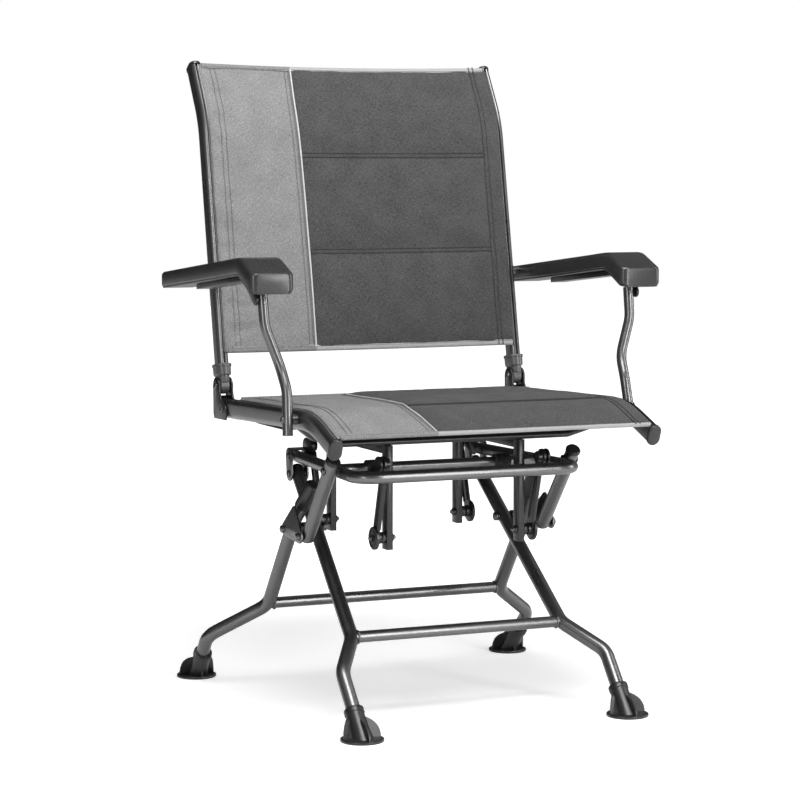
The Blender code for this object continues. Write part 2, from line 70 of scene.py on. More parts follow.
# Joint centres in the side plane, as (y, z).
LEG_PIVOT = (140.0, 351.0)
CROSS_PIVOT = (46.0, 275.0)
STRUT_TOP = (-113.0, 384.0)
STRUT_FOOT = (-21.0, 271.0)
LINK_TOP_FRONT = (-155.0, 395.0)
LINK_FOOT_FRONT = (-120.0, 277.0)
LINK_TOP_REAR = (147.0, 395.0)
LINK_FOOT_REAR = (112.0, 277.0)
BACK_PIVOT = (207.0, 492.0)
ARM_PIVOT = (250.0, 672.0)
ARM_STRUT_FOOT = (-153.0, 469.0)

RING_Z = 379.0
RAIL_X = 265.0
RAIL_SECTION = (18.0, 32.0)
SLING_FACE = 17.6
BACK_LEAN = math.radians(10.8)
SLOT_REACH = 264.8
SIDES = (("left", -1, "l"), ("right", 1, "r"))


# ---------------------------------------------------------------- materials


class Shader:
    """A small helper for building one Principled material out of nodes."""

    def __init__(self, name, roughness=0.5, metallic=0.0):
        self.mat = bpy.data.materials.new(name)
        self.mat.use_nodes = True
        self.tree = self.mat.node_tree
        self.bsdf = self.tree.nodes["Principled BSDF"]
        self.bsdf.inputs["Roughness"].default_value = roughness
        self.bsdf.inputs["Metallic"].default_value = metallic

    def node(self, kind, **inputs):
        made = self.tree.nodes.new(kind)
        for key, value in inputs.items():
            self.put(made.inputs[key.replace("_", " ")], value)
        return made

    def put(self, socket, value):
        if isinstance(value, bpy.types.NodeSocket):
            self.tree.links.new(value, socket)
        else:
            socket.default_value = value

    def math(self, operation, a, b=0.0):
        made = self.tree.nodes.new("ShaderNodeMath")
        made.operation = operation
        self.put(made.inputs[0], a)
        self.put(made.inputs[1], b)
        return made.outputs[0]

    def coords(self, kind="Object"):
        return self.tree.nodes.new("ShaderNodeTexCoord").outputs[kind]

    def noise(self, where, scale, detail=2.0, roughness=0.5):
        made = self.node("ShaderNodeTexNoise", Vector=where, Scale=scale, Detail=detail, Roughness=roughness)
        return made.outputs["Fac"]

    def span(self, value, low, high, to_low, to_high):
        made = self.tree.nodes.new("ShaderNodeMapRange")
        for socket, item in zip(made.inputs, (value, low, high, to_low, to_high)):
            self.put(socket, item)
        return made.outputs[0]

    def ramp(self, value, stops):
        made = self.tree.nodes.new("ShaderNodeValToRGB")
        self.put(made.inputs[0], value)
        points = made.color_ramp.elements
        while len(points) < len(stops):
            points.new(0.5)
        for point, (place, colour) in zip(points, stops):
            point.position = place
            point.color = (*colour, 1.0)
        return made.outputs[0]

    def bump(self, height, distance, strength=1.0, after=None):
        made = self.node("ShaderNodeBump", Height=height, Distance=distance, Strength=strength)
        if after is not None:
            self.put(made.inputs["Normal"], after)
        return made.outputs[0]

    def finish(self, colour=None, roughness=None, normal=None, **others):
        for key, value in (("Base Color", colour), ("Roughness", roughness), ("Normal", normal)):
            if value is not None:
                self.put(self.bsdf.inputs[key], value)
        for key, value in others.items():
            self.put(self.bsdf.inputs[key.replace("_", " ")], value)
        return self.mat


def grey(value, tint=0.0):
    return (value * (1 - tint), value, value * (1 + tint))


def painted(name, value, rough, metallic, coat=0.25):
    """Powder coat: slight orange peel, drifting gloss and a thin clear coat. Edges wear a little brighter."""
    s = Shader(name, rough, metallic)
    where = s.coords()
    drift = s.noise(where, 14.0, 3.0)
    peel = s.noise(where, 620.0, 2.0)
    fine = s.noise(where, 2400.0, 1.0)
    geometry = s.tree.nodes.new("ShaderNodeNewGeometry")
    edge = s.span(geometry.outputs["Pointiness"], 0.53, 0.62, 0.0, 1.0)
    worn = s.math("MULTIPLY", edge, s.span(s.noise(where, 160.0, 4.0), 0.45, 0.65, 0.0, 0.12))
    tone = s.ramp(drift, [(0.3, grey(value * 0.94)), (0.7, grey(value * 1.05))])
    mix = s.tree.nodes.new("ShaderNodeMix")
    mix.data_type = "RGBA"
    s.put(mix.inputs["Factor"], worn)
    s.put(mix.inputs["A"], tone)
    s.put(mix.inputs["B"], (*grey(min(1.0, value * 2.4 + 0.02)), 1.0))
    normal = s.bump(peel, 0.00004, 0.25, s.bump(fine, 0.000008, 0.25))
    gloss = s.span(drift, 0.25, 0.75, rough - 0.05, rough + 0.07)
    return s.finish(mix.outputs["Result"], gloss, normal, Coat_Weight=coat, Coat_Roughness=0.2)


def moulded(name, value, rough):
    """Injection moulded plastic: spark-eroded grain, faint flow marks."""
    s = Shader(name, rough)
    where = s.coords()
    grain = s.noise(where, 1500.0, 3.0, 0.7)
    flow = s.noise(where, 22.0, 2.0)
    tone = s.ramp(flow, [(0.35, grey(value * 0.9)), (0.65, grey(value * 1.12))])
    gloss = s.span(grain, 0.3, 0.7, rough - 0.04, rough + 0.06)
    return s.finish(tone, gloss, s.bump(grain, 0.00003, 0.35), Specular_IOR_Level=0.6)


def steel(name, value, rough):
    s = Shader(name, rough, 1.0)
    where = s.coords()
    marks = s.noise(where, 900.0, 4.0, 0.7)
    tone = s.ramp(marks, [(0.3, grey(value * 0.7)), (0.7, grey(value * 1.2))])
    return s.finish(tone, s.span(marks, 0.3, 0.7, rough - 0.08, rough + 0.1), s.bump(marks, 0.00004, 0.4))


def woven(name, value, pitch=0.00115, contrast=0.16, sheen=0.25):
    """Plain weave from the cloth's own lengths, kept in its UV map in metres, with heathered yarns."""
    s = Shader(name, 0.9)
    uv = s.coords("UV")
    axes = s.node("ShaderNodeSeparateXYZ", Vector=uv)
    across = s.math("MULTIPLY", axes.outputs[0], math.pi / pitch)
    along = s.math("MULTIPLY", axes.outputs[1], math.pi / pitch)
    sine_a, sine_b = s.math("SINE", across), s.math("SINE", along)
    over = s.math("GREATER_THAN", s.math("MULTIPLY", sine_a, sine_b), 0.0)
    warp = s.math("ABSOLUTE", s.math("COSINE", across))
    weft = s.math("ABSOLUTE", s.math("COSINE", along))
    under = s.math("SUBTRACT", 1.0, over)
    top = s.math("ADD", s.math("MULTIPLY", warp, over), s.math("MULTIPLY", weft, under))
    stretch = s.node("ShaderNodeMapping", Vector=uv)
    stretch.inputs["Scale"].default_value = (1.0, 7.0, 1.0)
    yarn_a = s.noise(stretch.outputs[0], 170.0, 2.0)
    stretch_b = s.node("ShaderNodeMapping", Vector=uv)
    stretch_b.inputs["Scale"].default_value = (7.0, 1.0, 1.0)
    yarn_b = s.noise(stretch_b.outputs[0], 170.0, 2.0)
    cloud = s.noise(uv, 26.0, 3.0)
    speckle = s.noise(uv, 420.0, 2.0)
    heather = s.math("ADD", s.math("MULTIPLY", yarn_a, 0.3), s.math("MULTIPLY", yarn_b, 0.3))
    heather = s.math("ADD", heather, s.math("MULTIPLY", speckle, 0.28))
    heather = s.math("ADD", heather, s.math("MULTIPLY", cloud, 0.12))
    shade = s.math("ADD", s.math("MULTIPLY", heather, 0.8), s.math("MULTIPLY", top, 0.2))
    dark, light = grey(value * (1 - 1.6 * contrast)), grey(value * (1 + 1.6 * contrast))
    tone = s.ramp(shade, [(0.4, dark), (0.66, light)])
    normal = s.bump(top, 0.00022, 0.7, s.bump(cloud, 0.0012, 0.25))
    return s.finish(tone, None, normal, Sheen_Weight=sheen, Sheen_Roughness=0.5, Specular_IOR_Level=0.2)


def thread_material(name, value):
    s = Shader(name, 0.7)
    twist = s.noise(s.coords(), 2600.0, 2.0)
    tone = s.ramp(twist, [(0.3, grey(value * 0.75)), (0.7, grey(value * 1.2))])
    return s.finish(tone, None, s.bump(twist, 0.0001, 0.5), Sheen_Weight=0.2)


def rubber_material(name, value):
    s = Shader(name, 0.75)
    dust = s.noise(s.coords(), 380.0, 4.0, 0.65)
    tone = s.ramp(dust, [(0.4, grey(value)), (0.75, grey(value * 2.2 + 0.01))])
    return s.finish(tone, s.span(dust, 0.3, 0.7, 0.62, 0.85), s.bump(dust, 0.00008, 0.5))


PAINT = painted("frame_paint", 0.16, 0.29, 0.92)
BLACK_STEEL = painted("black_steel", 0.03, 0.32, 0.6, 0.2)
BOLT = steel("bolt_steel", 0.16, 0.36)
PLASTIC = moulded("black_plastic", 0.014, 0.34)
SLEEVE_PLASTIC = moulded("sleeve_plastic", 0.07, 0.3)
ARM_PLASTIC = moulded("arm_plastic", 0.024, 0.25)
RUBBER = rubber_material("rubber", 0.012)
LIGHT_CLOTH = woven("light_cloth", 0.198, contrast=0.36, sheen=0.05)
DARK_CLOTH = woven("dark_cloth", 0.056, contrast=0.58, sheen=0.08)
HEM_CLOTH = woven("hem_cloth", 0.34, pitch=0.0009, sheen=0.05)
BACKING = woven("backing_cloth", 0.05, pitch=0.0016)
PIPING = woven("piping_cloth", 0.5, pitch=0.0009, sheen=0.1)
LIGHT_THREAD = thread_material("light_thread", 0.11)
DARK_THREAD = thread_material("dark_thread", 0.012)


# ---------------------------------------------------------------- geometry helpers


def place(point):
    """A design point in millimetres as a point of the row frame in metres."""
    return Vector((point[0], point[1] - MIDDLE_Y, point[2])) * MM


# The record's material slot for each material. Every other one is cloth or thread.
SLOT_OF = {
    PAINT: "frame_paint",
    BLACK_STEEL: "black_steel",
    BOLT: "bolt_steel",
    PLASTIC: "black_plastic",
    SLEEVE_PLASTIC: "black_plastic",
    ARM_PLASTIC: "arm_plastic",
    RUBBER: "rubber",
}


def add_mesh(name, verts, faces, mat, body, angle=32, uv=None):
    """A new piece from design points, shaded smooth up to an angle, riding on a body."""
    mesh = bpy.data.meshes.new(name)
    mesh.from_pydata([place(v) for v in verts], [], faces)
    bm = bmesh.new()
    bm.from_mesh(mesh)
    layer = None
    if uv is not None:
        layer = bm.loops.layers.uv.new("UVMap")
        bm.verts.ensure_lookup_table()
        for face in bm.faces:
            for loop in face.loops:
                loop[layer].uv = uv[loop.vert.index]
    bmesh.ops.recalc_face_normals(bm, faces=bm.faces)
    bm.to_mesh(mesh)
    bm.free()
    mesh.shade_smooth()
    if angle < 180:
        mesh.set_sharp_from_angle(angle=math.radians(angle))
    mesh.materials.append(mat)
    obj = bpy.data.objects.new(name, mesh)
    bpy.context.scene.collection.objects.link(obj)
    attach(obj, body)
    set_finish(obj, SLOT_OF.get(mat, "sling_fabric"))
    return obj


def bevel(obj, width=0.6, segments=2, angle=35):
    modifier = obj.modifiers.new("bevel", "BEVEL")
    modifier.width = width * MM
    modifier.segments = segments
    modifier.limit_method = "ANGLE"
    modifier.angle_limit = math.radians(angle)
    modifier.use_clamp_overlap = True
    return obj


def round_section(radius, sides=32):
    turn = 2.0 * math.pi / sides
    return [(radius * math.cos(turn * i), radius * math.sin(turn * i)) for i in range(sides)]


def oval_section(width, depth, steps=12):
    flip = width > depth
    narrow, wide = (depth, width) if flip else (width, depth)
    radius = narrow / 2.0
    shift = wide / 2.0 - radius
    points = []
    for turn, lift in ((0.0, shift), (math.pi, -shift)):
        for i in range(steps + 1):
            angle = turn + math.pi * i / steps
            points.append((radius * math.cos(angle), lift + radius * math.sin(angle)))
    return [(v, u) for u, v in points] if flip else points


def slotted_section(width, depth, sign, gap=3.4, deep=6.0, lip=0.9):
    """A flat oval tube with the groove that holds the cloth's rope in the middle of one narrow end."""
    radius, shift = width / 2.0, depth / 2.0 - width / 2.0
    half = gap / 2.0

    def surface(u):
        return shift + math.sqrt(radius**2 - u**2)

    rim = [(half + lip, surface(half + lip)), (half, surface(half) - 0.6), (half + 0.9, depth / 2.0 - deep)]
    groove = rim + [(-u, v) for u, v in reversed(rim)]
    points = oval_section(width, depth)
    kept = [p for p in points if p[1] < shift or abs(p[0]) > half + lip + 0.2]
    split = next(i for i, p in enumerate(kept) if p[0] < 0)
    return [(u, sign * v) for u, v in kept[:split] + groove + kept[split:]]


def rounded_path(points, radius, steps=10):
    points = [Vector(p) for p in points]
    path = [points[0]]
    for before, corner, after in zip(points, points[1:], points[2:]):
        into = (before - corner).normalized()
        out = (after - corner).normalized()
        half = into.angle(out) / 2.0
        reach = radius / math.tan(half)
        reach = min(reach, 0.45 * (before - corner).length, 0.45 * (after - corner).length)
        start, end = corner + into * reach, corner + out * reach
        for i in range(steps + 1):
            t = i / steps
            path.append(start * (1 - t) ** 2 + corner * 2 * t * (1 - t) + end * t**2)
    path.append(points[-1])
    return path


def skin(rings, caps=True, closed=False):
    """Faces that join rings of equal length, in order."""
    count = len(rings[0])
    verts = [p for ring in rings for p in ring]
    faces = []
    turns = len(rings) if closed else len(rings) - 1
    for k in range(turns):
        low, high = k * count, ((k + 1) % len(rings)) * count
        for i in range(count):
            j = (i + 1) % count
            faces.append((low + i, low + j, high + j, high + i))
    if caps and not closed:
        faces.append(tuple(range(count)))
        faces.append(tuple(range((len(rings) - 1) * count, len(rings) * count)))
    return verts, faces


def sweep_rings(path, section, across=(1, 0, 0), scale=None):
    path = [Vector(p) for p in path]
    across = Vector(across)
    rings = []
    for i, point in enumerate(path):
        along = path[min(i + 1, len(path) - 1)] - path[max(i - 1, 0)]
        if 0 < i < len(path) - 1:
            along = (path[i + 1] - point).normalized() + (point - path[i - 1]).normalized()
        along.normalize()
        first = (across - along * across.dot(along)).normalized()
        second = along.cross(first)
        size = scale(i / (len(path) - 1)) if scale else (1.0, 1.0)
        rings.append([point + first * u * size[0] + second * v * size[1] for u, v in section])
    return rings


def tube(name, path, section, mat, body, across=(1, 0, 0), scale=None):
    verts, faces = skin(sweep_rings(path, section, across, scale))
    return add_mesh(name, verts, faces, mat, body)


def turned(name, centre, profile, mat, body, sides=32):
    """Turned about a line parallel to X. The profile lists (x, radius)."""
    y, z = centre
    rings = [[Vector((x, y + u, z + v)) for u, v in round_section(r, sides)] for x, r in profile]
    verts, faces = skin(rings)
    return add_mesh(name, verts, faces, mat, body)


def directions(axis):
    """An axis of unit length and two directions square to it."""
    axis = Vector(axis).normalized()
    first = axis.orthogonal().normalized()
    return axis, first, axis.cross(first)


def turned_about(name, origin, axis, profile, mat, body, sides=32):
    """Turned about any line. The profile lists (distance along the axis, radius)."""
    axis, first, second = directions(axis)
    rings = []
    for reach, radius in profile:
        middle = Vector(origin) + axis * reach
        rings.append([middle + first * u + second * v for u, v in round_section(radius, sides)])
    verts, faces = skin(rings)
    return add_mesh(name, verts, faces, mat, body)


def hull_outline(circles, sides=40):
    points = []
    for (y, z), radius in circles:
        points += [(y + u, z + v) for u, v in round_section(radius, sides)]
    points = sorted(set(points))
    chains = []
    for ordered in (points, points[::-1]):
        chain = []
        for p in ordered:
            while len(chain) > 1:
                (ay, az), (by, bz) = chain[-2], chain[-1]
                if (by - ay) * (p[1] - az) - (bz - az) * (p[0] - ay) > 1e-6:
                    break
                chain.pop()
            chain.append(p)
        chains.append(chain[:-1])
    return chains[0] + chains[1]


def plate(name, outline, x_from, x_to, mat, body, width=0.7):
    rings = [[Vector((x, y, z)) for y, z in outline] for x in (x_from, x_to)]
    verts, faces = skin(rings)
    return bevel(add_mesh(name, verts, faces, mat, body), width)


def side_point(x, point):
    return Vector((x, point[0], point[1]))


def join(name, *objs):
    """Joins pieces that make one part into one mesh, keeping the first one's body."""
    depsgraph = bpy.context.evaluated_depsgraph_get()
    bm = bmesh.new()
    mats = []
    for obj in objs:
        evaluated = bpy.data.meshes.new_from_object(obj.evaluated_get(depsgraph))
        offset = []
        for mat in evaluated.materials:
            if mat not in mats:
                mats.append(mat)
            offset.append(mats.index(mat))
        for polygon in evaluated.polygons:
            polygon.material_index = offset[polygon.material_index]
        bm.from_mesh(evaluated)
        bpy.data.meshes.remove(evaluated)
    mesh = bpy.data.meshes.new(name)
    bm.to_mesh(mesh)
    bm.free()
    for mat in mats:
        mesh.materials.append(mat)
    first = objs[0]
    body, slot = first["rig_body"], first["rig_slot"]
    for obj in objs:
        bpy.data.objects.remove(obj, do_unlink=True)
    made = bpy.data.objects.new(name, mesh)
    bpy.context.scene.collection.objects.link(made)
    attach(made, body)
    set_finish(made, slot)
    return made


# ---------------------------------------------------------------- fasteners


def hex_profile(size, turn=0.0):
    radius = size / 2 / math.cos(math.pi / 6)
    angles = [turn + math.pi * i / 3 for i in range(6)]
    return [(radius * math.cos(angle), radius * math.sin(angle)) for angle in angles]


def button_head(name, x, side, centre, radius, body, mat=BOLT):
    """A domed bolt head with a hexagon socket, on a washer, facing +side along X."""
    height = radius * 0.55
    y, z = centre
    dome = [(0.0, radius * 1.25), (0.9, radius * 1.25), (0.95, radius * 0.98)]
    for i in range(1, 8):
        angle = math.radians(90 * i / 8)
        dome.append((0.95 + height * math.sin(angle), radius * math.cos(angle) ** 0.7))
    rings = [[Vector((x + side * a, y + u, z + v)) for u, v in round_section(r, 24)] for a, r in dome]
    top = 0.95 + height
    verts, faces = skin(rings, caps=False)
    faces.append(tuple(range(24)))
    socket = radius * 0.42
    start = len(verts)
    lip = []
    for i in range(24):
        angle = 2 * math.pi * i / 24
        sector = (angle + math.pi / 6) % (math.pi / 3) - math.pi / 6
        lip.append((math.cos(angle) * socket / math.cos(sector), math.sin(angle) * socket / math.cos(sector)))
    for depth in (top, top - 1.6):
        verts += [Vector((x + side * depth, y + u, z + v)) for u, v in lip]
    last = (len(rings) - 1) * 24
    for i in range(24):
        j = (i + 1) % 24
        faces.append((last + i, last + j, start + j, start + i))
        faces.append((start + i, start + j, start + 24 + j, start + 24 + i))
    faces.append(tuple(range(start + 24, start + 48)))
    return add_mesh(name, verts, faces, mat, body)


def lock_nut(name, x, side, centre, size, body, mat=BOLT):
    """A hexagon nut on a washer with its nylon collar and the bolt's end."""
    y, z = centre
    pieces = [
        turned(name + "_washer", centre, [(x, size * 0.68), (x + side * 1.0, size * 0.68)], mat, body)
    ]
    rings = []
    for reach, grow in ((1.0, 0.96), (1.5, 1.0), (4.4, 1.0), (5.0, 0.93)):
        points = [(u * grow, v * grow) for u, v in hex_profile(size, 0.4)]
        rings.append([Vector((x + side * reach, y + u, z + v)) for u, v in points])
    verts, faces = skin(rings)
    pieces.append(add_mesh(name + "_nut", verts, faces, mat, body, 20))
    collar = [(5.0, 0.42), (6.2, 0.4), (6.4, 0.3), (7.6, 0.29), (8.0, 0.22)]
    pieces.append(turned(name + "_end", centre, [(x + side * a, size * r) for a, r in collar], mat, body, 20))
    return join(name, *pieces)


# ---------------------------------------------------------------- frame


RING_TAPER = 0.0842


def ring_x(y):
    """Half the ring's width between its tubes' centre lines, which spread towards the front."""
    return 161.0 + (150.0 - y) * RING_TAPER


def build_base():
    front_x, rear_x = ring_x(-185.0), ring_x(152.0)
    corners = [(-rear_x, 152), (-front_x, -185), (front_x, -185), (rear_x, 152)]
    corners = [(x, y, RING_Z) for x, y in corners]
    up = (0, 0, 1)
    ring = tube("base_ring", rounded_path(corners, 38, 14), round_section(9.5), PAINT, "base", up)
    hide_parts("ring_tube")
    reach = ring_x(-59.0) - 3
    line = [(-reach, -59, RING_Z), (reach, -59, RING_Z)]
    bar = tube("base_mid_bar", line, round_section(8.5), PAINT, "base", up)
    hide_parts("mid_bar")
    for word, side, _ in SIDES:
        end = (side * (ring_x(-59.0) - 9.2), -59, RING_Z)
        weld_bead(f"mid_bar_weld_{word}", end, (side, RING_TAPER, 0), 8.9, "base")
        profile = []
        low = side * 111 - 13
        for i in range(27):
            ridge = 13.0 if i % 4 in (1, 2) else 11.4
            profile.append((low + i, ridge if 0 < i < 26 else 11.0))
        sleeve = turned("rubber_bumper_" + word, (-59, RING_Z), profile, RUBBER, "base", 36)
        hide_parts("bumper_" + word)
        knuckle_x = side * 161.0
        for name, face in (("inner", -side), ("outer", side)):
            x = knuckle_x + face * 15.1
            button_head(f"knuckle_bolt_{name}_{word}", x, face, LEG_PIVOT, 5.2, "base")
            button_head(f"ring_bolt_{name}_{word}", x, face, (142, 380.5), 4.2, "base")
        plug = [(0, 9.2), (1.2, 9.2), (2.0, 8.4), (2.3, 6.5)]
        end = Vector((side * ring_x(152.2), 152.2, RING_Z))
        turned_about("ring_plug_" + word, end, (-side * 0.084, 1, 0), plug, PLASTIC, "base")


def weld_bead(name, centre, axis, radius, body, width=1.6):
    """A thin uneven fillet of weld metal round a tube's end."""
    axis, first, second = directions(axis)
    centre = Vector(centre)
    around, small = 48, 8
    rings = []
    for i in range(around):
        angle = 2 * math.pi * i / around
        out = first * math.cos(angle) + second * math.sin(angle)
        size = width * (1.0 + 0.16 * math.sin(angle * 17) + 0.08 * math.sin(angle * 5 + 1))
        middle = centre + out * radius
        ring = []
        for j in range(small):
            turn = 2 * math.pi * j / small
            ring.append(middle + out * size * math.cos(turn) + axis * size * math.sin(turn))
        rings.append(ring)
    verts, faces = skin(rings, closed=True)
    return add_mesh(name, verts, faces, PAINT, body, 60)


def front_leg_path(side):
    points = [(159.9, 149, 358.3), (180, -137, 127), (224, -206, 89), (223, -269, 16)]
    return rounded_path([(side * x, y, z) for x, y, z in points], 42, 14)


def rear_leg_path(side):
    points = [(199.8, 12, 320.2), (207.6, 36, 288.4), (209, 151, 136), (294, 211, 80), (289, 269, 16)]
    return rounded_path([(side * x, y, z) for x, y, z in points], 42, 14)


def build_foot(name, path, socket, body, node):
    """The moulded boot: a floor flange, a socket round the leg's end with a thicker rim, and curved fins."""
    end = Vector(path[-1])
    up = (Vector(path[-2]) - end).normalized()
    way = math.copysign(1.0, end.y)
    centre = Vector((end.x, way * 281.0, 0))
    flange = [(0, 30.0), (0, 31.6), (0.8, 32.6), (1.6, 33.0), (3.0, 33.0)]
    flange += [(4.2, 32.6), (4.8, 31.4), (5.0, 28.0), (5.2, 10.0)]
    parts = [turned_about(name, centre, (0, 0, 1), flange, PLASTIC, body, 56)]
    foot_of_axis = end - up * ((end.z - 3.5) / up.z)
    reach = (end - foot_of_axis).length
    lip = [(9.0, 14.2), (8.4, 15.4), (1.2, 15.4), (0.2, 14.8), (0.0, 13.6), (0.0, 11.2)]
    rim = [(0.0, 17.5), (reach * 0.4, 15.8), (reach, 14.8)]
    rim += [(reach + socket - down, radius) for down, radius in lip]
    _, first, second = directions(up)
    rings = []
    for step, radius in rim:
        ring = [foot_of_axis + up * step + first * u + second * v for u, v in round_section(radius, 40)]
        floor = 4.0 + step
        rings.append([p + up * max(0.0, (floor - p.z) / up.z) if p.z < 12 else p for p in ring])
    rings[0] = [p + up * ((4.0 - p.z) / up.z) for p in rings[0]]
    verts, faces = skin(rings)
    parts.append(add_mesh(name + "_socket", verts, faces, PLASTIC, body))
    top = foot_of_axis + up * (reach + socket - 12.0)
    for index, turn in enumerate((0.0, 90.0, 180.0, 270.0)):
        angle = math.radians(turn)
        heading = Vector((math.sin(angle), way * math.cos(angle), 0))
        outer = centre + heading * 30.0 + Vector((0, 0, 4.2))
        high = top + heading * 13.0
        outline = [centre.lerp(foot_of_axis, 0.5) + Vector((0, 0, 4.2)), outer]
        for i in range(1, 8):
            t = i / 8
            corner = Vector((outer.x, outer.y, high.z * 0.86))
            outline.append(outer * (1 - t) ** 2 + corner * 2 * t * (1 - t) + high * t**2)
        outline += [high, top]
        half = heading.cross(Vector((0, 0, 1))).normalized() * 1.5
        verts, faces = skin([[p - half for p in outline], [p + half for p in outline]])
        parts.append(bevel(add_mesh(f"{name}_fin_{index}", verts, faces, PLASTIC, body), 0.5))
    foot = join(name, *parts)
    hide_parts(node)


FOOT_SOCKET = {"front": 33.0, "rear": 44.0}


def build_legs():
    for kind, path_of, body, bar_y, bar_z in (
        ("front", front_leg_path, "front_legs", -137, 128),
        ("rear", rear_leg_path, "rear_legs", 148, 139),
    ):
        for word, side, _ in SIDES:
            path = path_of(side)
            leg = tube(f"{kind}_leg_tube_{word}", path, round_section(11.0), PAINT, body)
            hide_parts(f"{kind}_leg_{word}")
            build_foot(f"{kind}_boot_{word}", path, FOOT_SOCKET[kind], body, f"{kind}_foot_{word}")
        near = min(path_of(1), key=lambda p: abs(p.y - bar_y))
        reach = near.x - 6
        line = [(-reach, bar_y, bar_z), (reach, bar_y, bar_z)]
        bar = tube(kind + "_cross_tube", line, round_section(9.0), PAINT, body, (0, 0, 1))
        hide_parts(kind + "_crossbar")
        for word, side, _ in SIDES:
            end = (side * (near.x - 10.4), bar_y, bar_z)
            weld_bead(f"{kind}_cross_weld_{word}", end, (1, 0, 0), 9.4, body, 1.8)
    for word, side, short in SIDES:
        button_head("crossing_bolt_inner_" + word, side * 155.5, -side, CROSS_PIVOT, 6.0, "front_legs")
        spacer = [(179.6, 8.6), (180.4, 9), (186, 9), (186.4, 7.6)]
        spacer += [(188.6, 7.6), (189, 9), (194.8, 9), (195.4, 8.6)]
        spacer = [(side * x, r) for x, r in spacer]
        turned("crossing_spacer_" + word, CROSS_PIVOT, spacer, PLASTIC, "front_legs")
        cap = [(-9, 11.1), (-8.6, 12.5), (-1, 12.6), (36, 12.4)]
        cap += [(38.4, 11.9), (40.0, 10.4), (40.8, 7.4), (41.0, 3.0)]
        top = Vector(rear_leg_path(side)[0])
        aim = (top - Vector(rear_leg_path(side)[1])).normalized()
        turned_about("rear_leg_stop_" + word, top, aim, cap, PLASTIC, "rear_legs", 40)
        button_head("bracket_bolt_upper_" + word, side * 221.9, side, CROSS_PIVOT, 5.2, "rear_legs")
        button_head("bracket_bolt_lower_" + word, side * 221.9, side, STRUT_FOOT, 5.2, "rear_legs")


def build_struts():
    for word, side, short in SIDES:
        body = "strut_" + short
        top, foot = Vector(STRUT_TOP), Vector(STRUT_FOOT)
        along = (foot - top).normalized()
        x = side * 206.0
        start = top - along * 18
        path = [side_point(x, start + along * t) for t in (0, 60, 120, 140)]
        path += [side_point(x, foot + along * t) for t in (-3, 0, 3, 6, 8.6, 10.2, 11.0)]
        shrink = [1, 1, 1, 1, 1, 1, 0.98, 0.88, 0.68, 0.42, 0.14]

        def scale(t, path=path, shrink=shrink):
            value = shrink[min(len(shrink) - 1, round(t * (len(shrink) - 1)))]
            return (value**0.25 if value > 0.2 else 0.7, value)

        strut = tube("strut_tube_" + word, path, round_section(11.0), PAINT, body, scale=scale)
        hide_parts("strut_" + word)
        rim = [(-0.2, 11.9), (0.6, 12.2), (2.6, 12.2), (3.6, 11.8), (4.4, 10.6), (5.8, 10.2), (6.0, 8.0)]
        end, way = side_point(x, start), side_point(0, -along)
        plug = turned_about("strut_end_plug_" + word, end, way, rim, PLASTIC, body, 40)
        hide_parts("strut_plug_" + word)
        button_head("strut_bolt_" + word, side * 217.0, side, STRUT_TOP, 5.4, body)
        collar = [(193.4, 7.5), (196.5, 7.5)]
        turned("strut_collar_" + word, STRUT_TOP, [(side * a, r) for a, r in collar], PLASTIC, body)


def build_links():
    """Pressed links with two stiffening ribs and a bearing housing at each end."""
    ends = (("front", LINK_TOP_FRONT, LINK_FOOT_FRONT, "f"), ("rear", LINK_TOP_REAR, LINK_FOOT_REAR, "r"))
    for kind, top, foot, letter in ends:
        for word, side, short in SIDES:
            body = "link_" + letter + short
            name = f"glider_link_{kind}_{word}"
            mid = 132.7
            outline = hull_outline([(top, 9), (foot, 10)])
            parts = [plate(name, outline, side * (mid - 1.4), side * (mid + 1.4), BLACK_STEEL, body, 0.5)]
            a, b = Vector(top), Vector(foot)
            along = (b - a).normalized()
            across = Vector((-along.y, along.x))
            for sign in (-1, 1):
                line = [a + along * 12 + across * sign * 7.4, b - along * 17 + across * sign * 7.4]
                path = [side_point(side * mid, p) for p in line]
                parts.append(tube(f"{name}_rib_{sign}", path, oval_section(6.6, 3.0, 6), BLACK_STEEL, body))
            for centre, radius in ((top, 13), (foot, 18)):
                inset = [(0.4, 1.0), (1.0, 0.0), (4.6, 0.0), (5.4, 0.9)]
                inset += [(5.4, 3.4), (4.2, 4.0), (4.2, 6.2), (5.4, 6.8)]
                rings = [(-6.2, 7.6), (-6.0, 9.4), (0.2, 9.6)] + [(x, radius - r) for x, r in inset]
                rings += [(5.4, 6.4), (4.6, 6.0), (4.6, 4.2)]
                profile = [(side * (mid + x), r) for x, r in rings]
                parts.append(turned(f"{name}_housing_{radius}", centre, profile, BLACK_STEEL, body, 40))
            link = join(name, *parts)
            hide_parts(f"link_{kind}_{word}")
            lock_nut(f"{name}_foot_nut", side * 137.0, side, foot, 8.0, body)


def rail_points(side):
    points = [(RAIL_X, 212, 457), (RAIL_X, -192, 470), (RAIL_X, -279, 437)]
    return rounded_path([(side * x, y, z) for x, y, z in points], 200, 20)


def upright_corners():
    lean = BACK_LEAN
    start = (BACK_PIVOT[0] + 4.0, BACK_PIVOT[1] + 21)
    knee = (start[0] + (925.0 - start[1]) * math.tan(lean), 925.0)
    return [start, knee, (343, 1011.5)]


def upright_points(side):
    return rounded_path([side_point(side * RAIL_X, p) for p in upright_corners()], 170, 16)


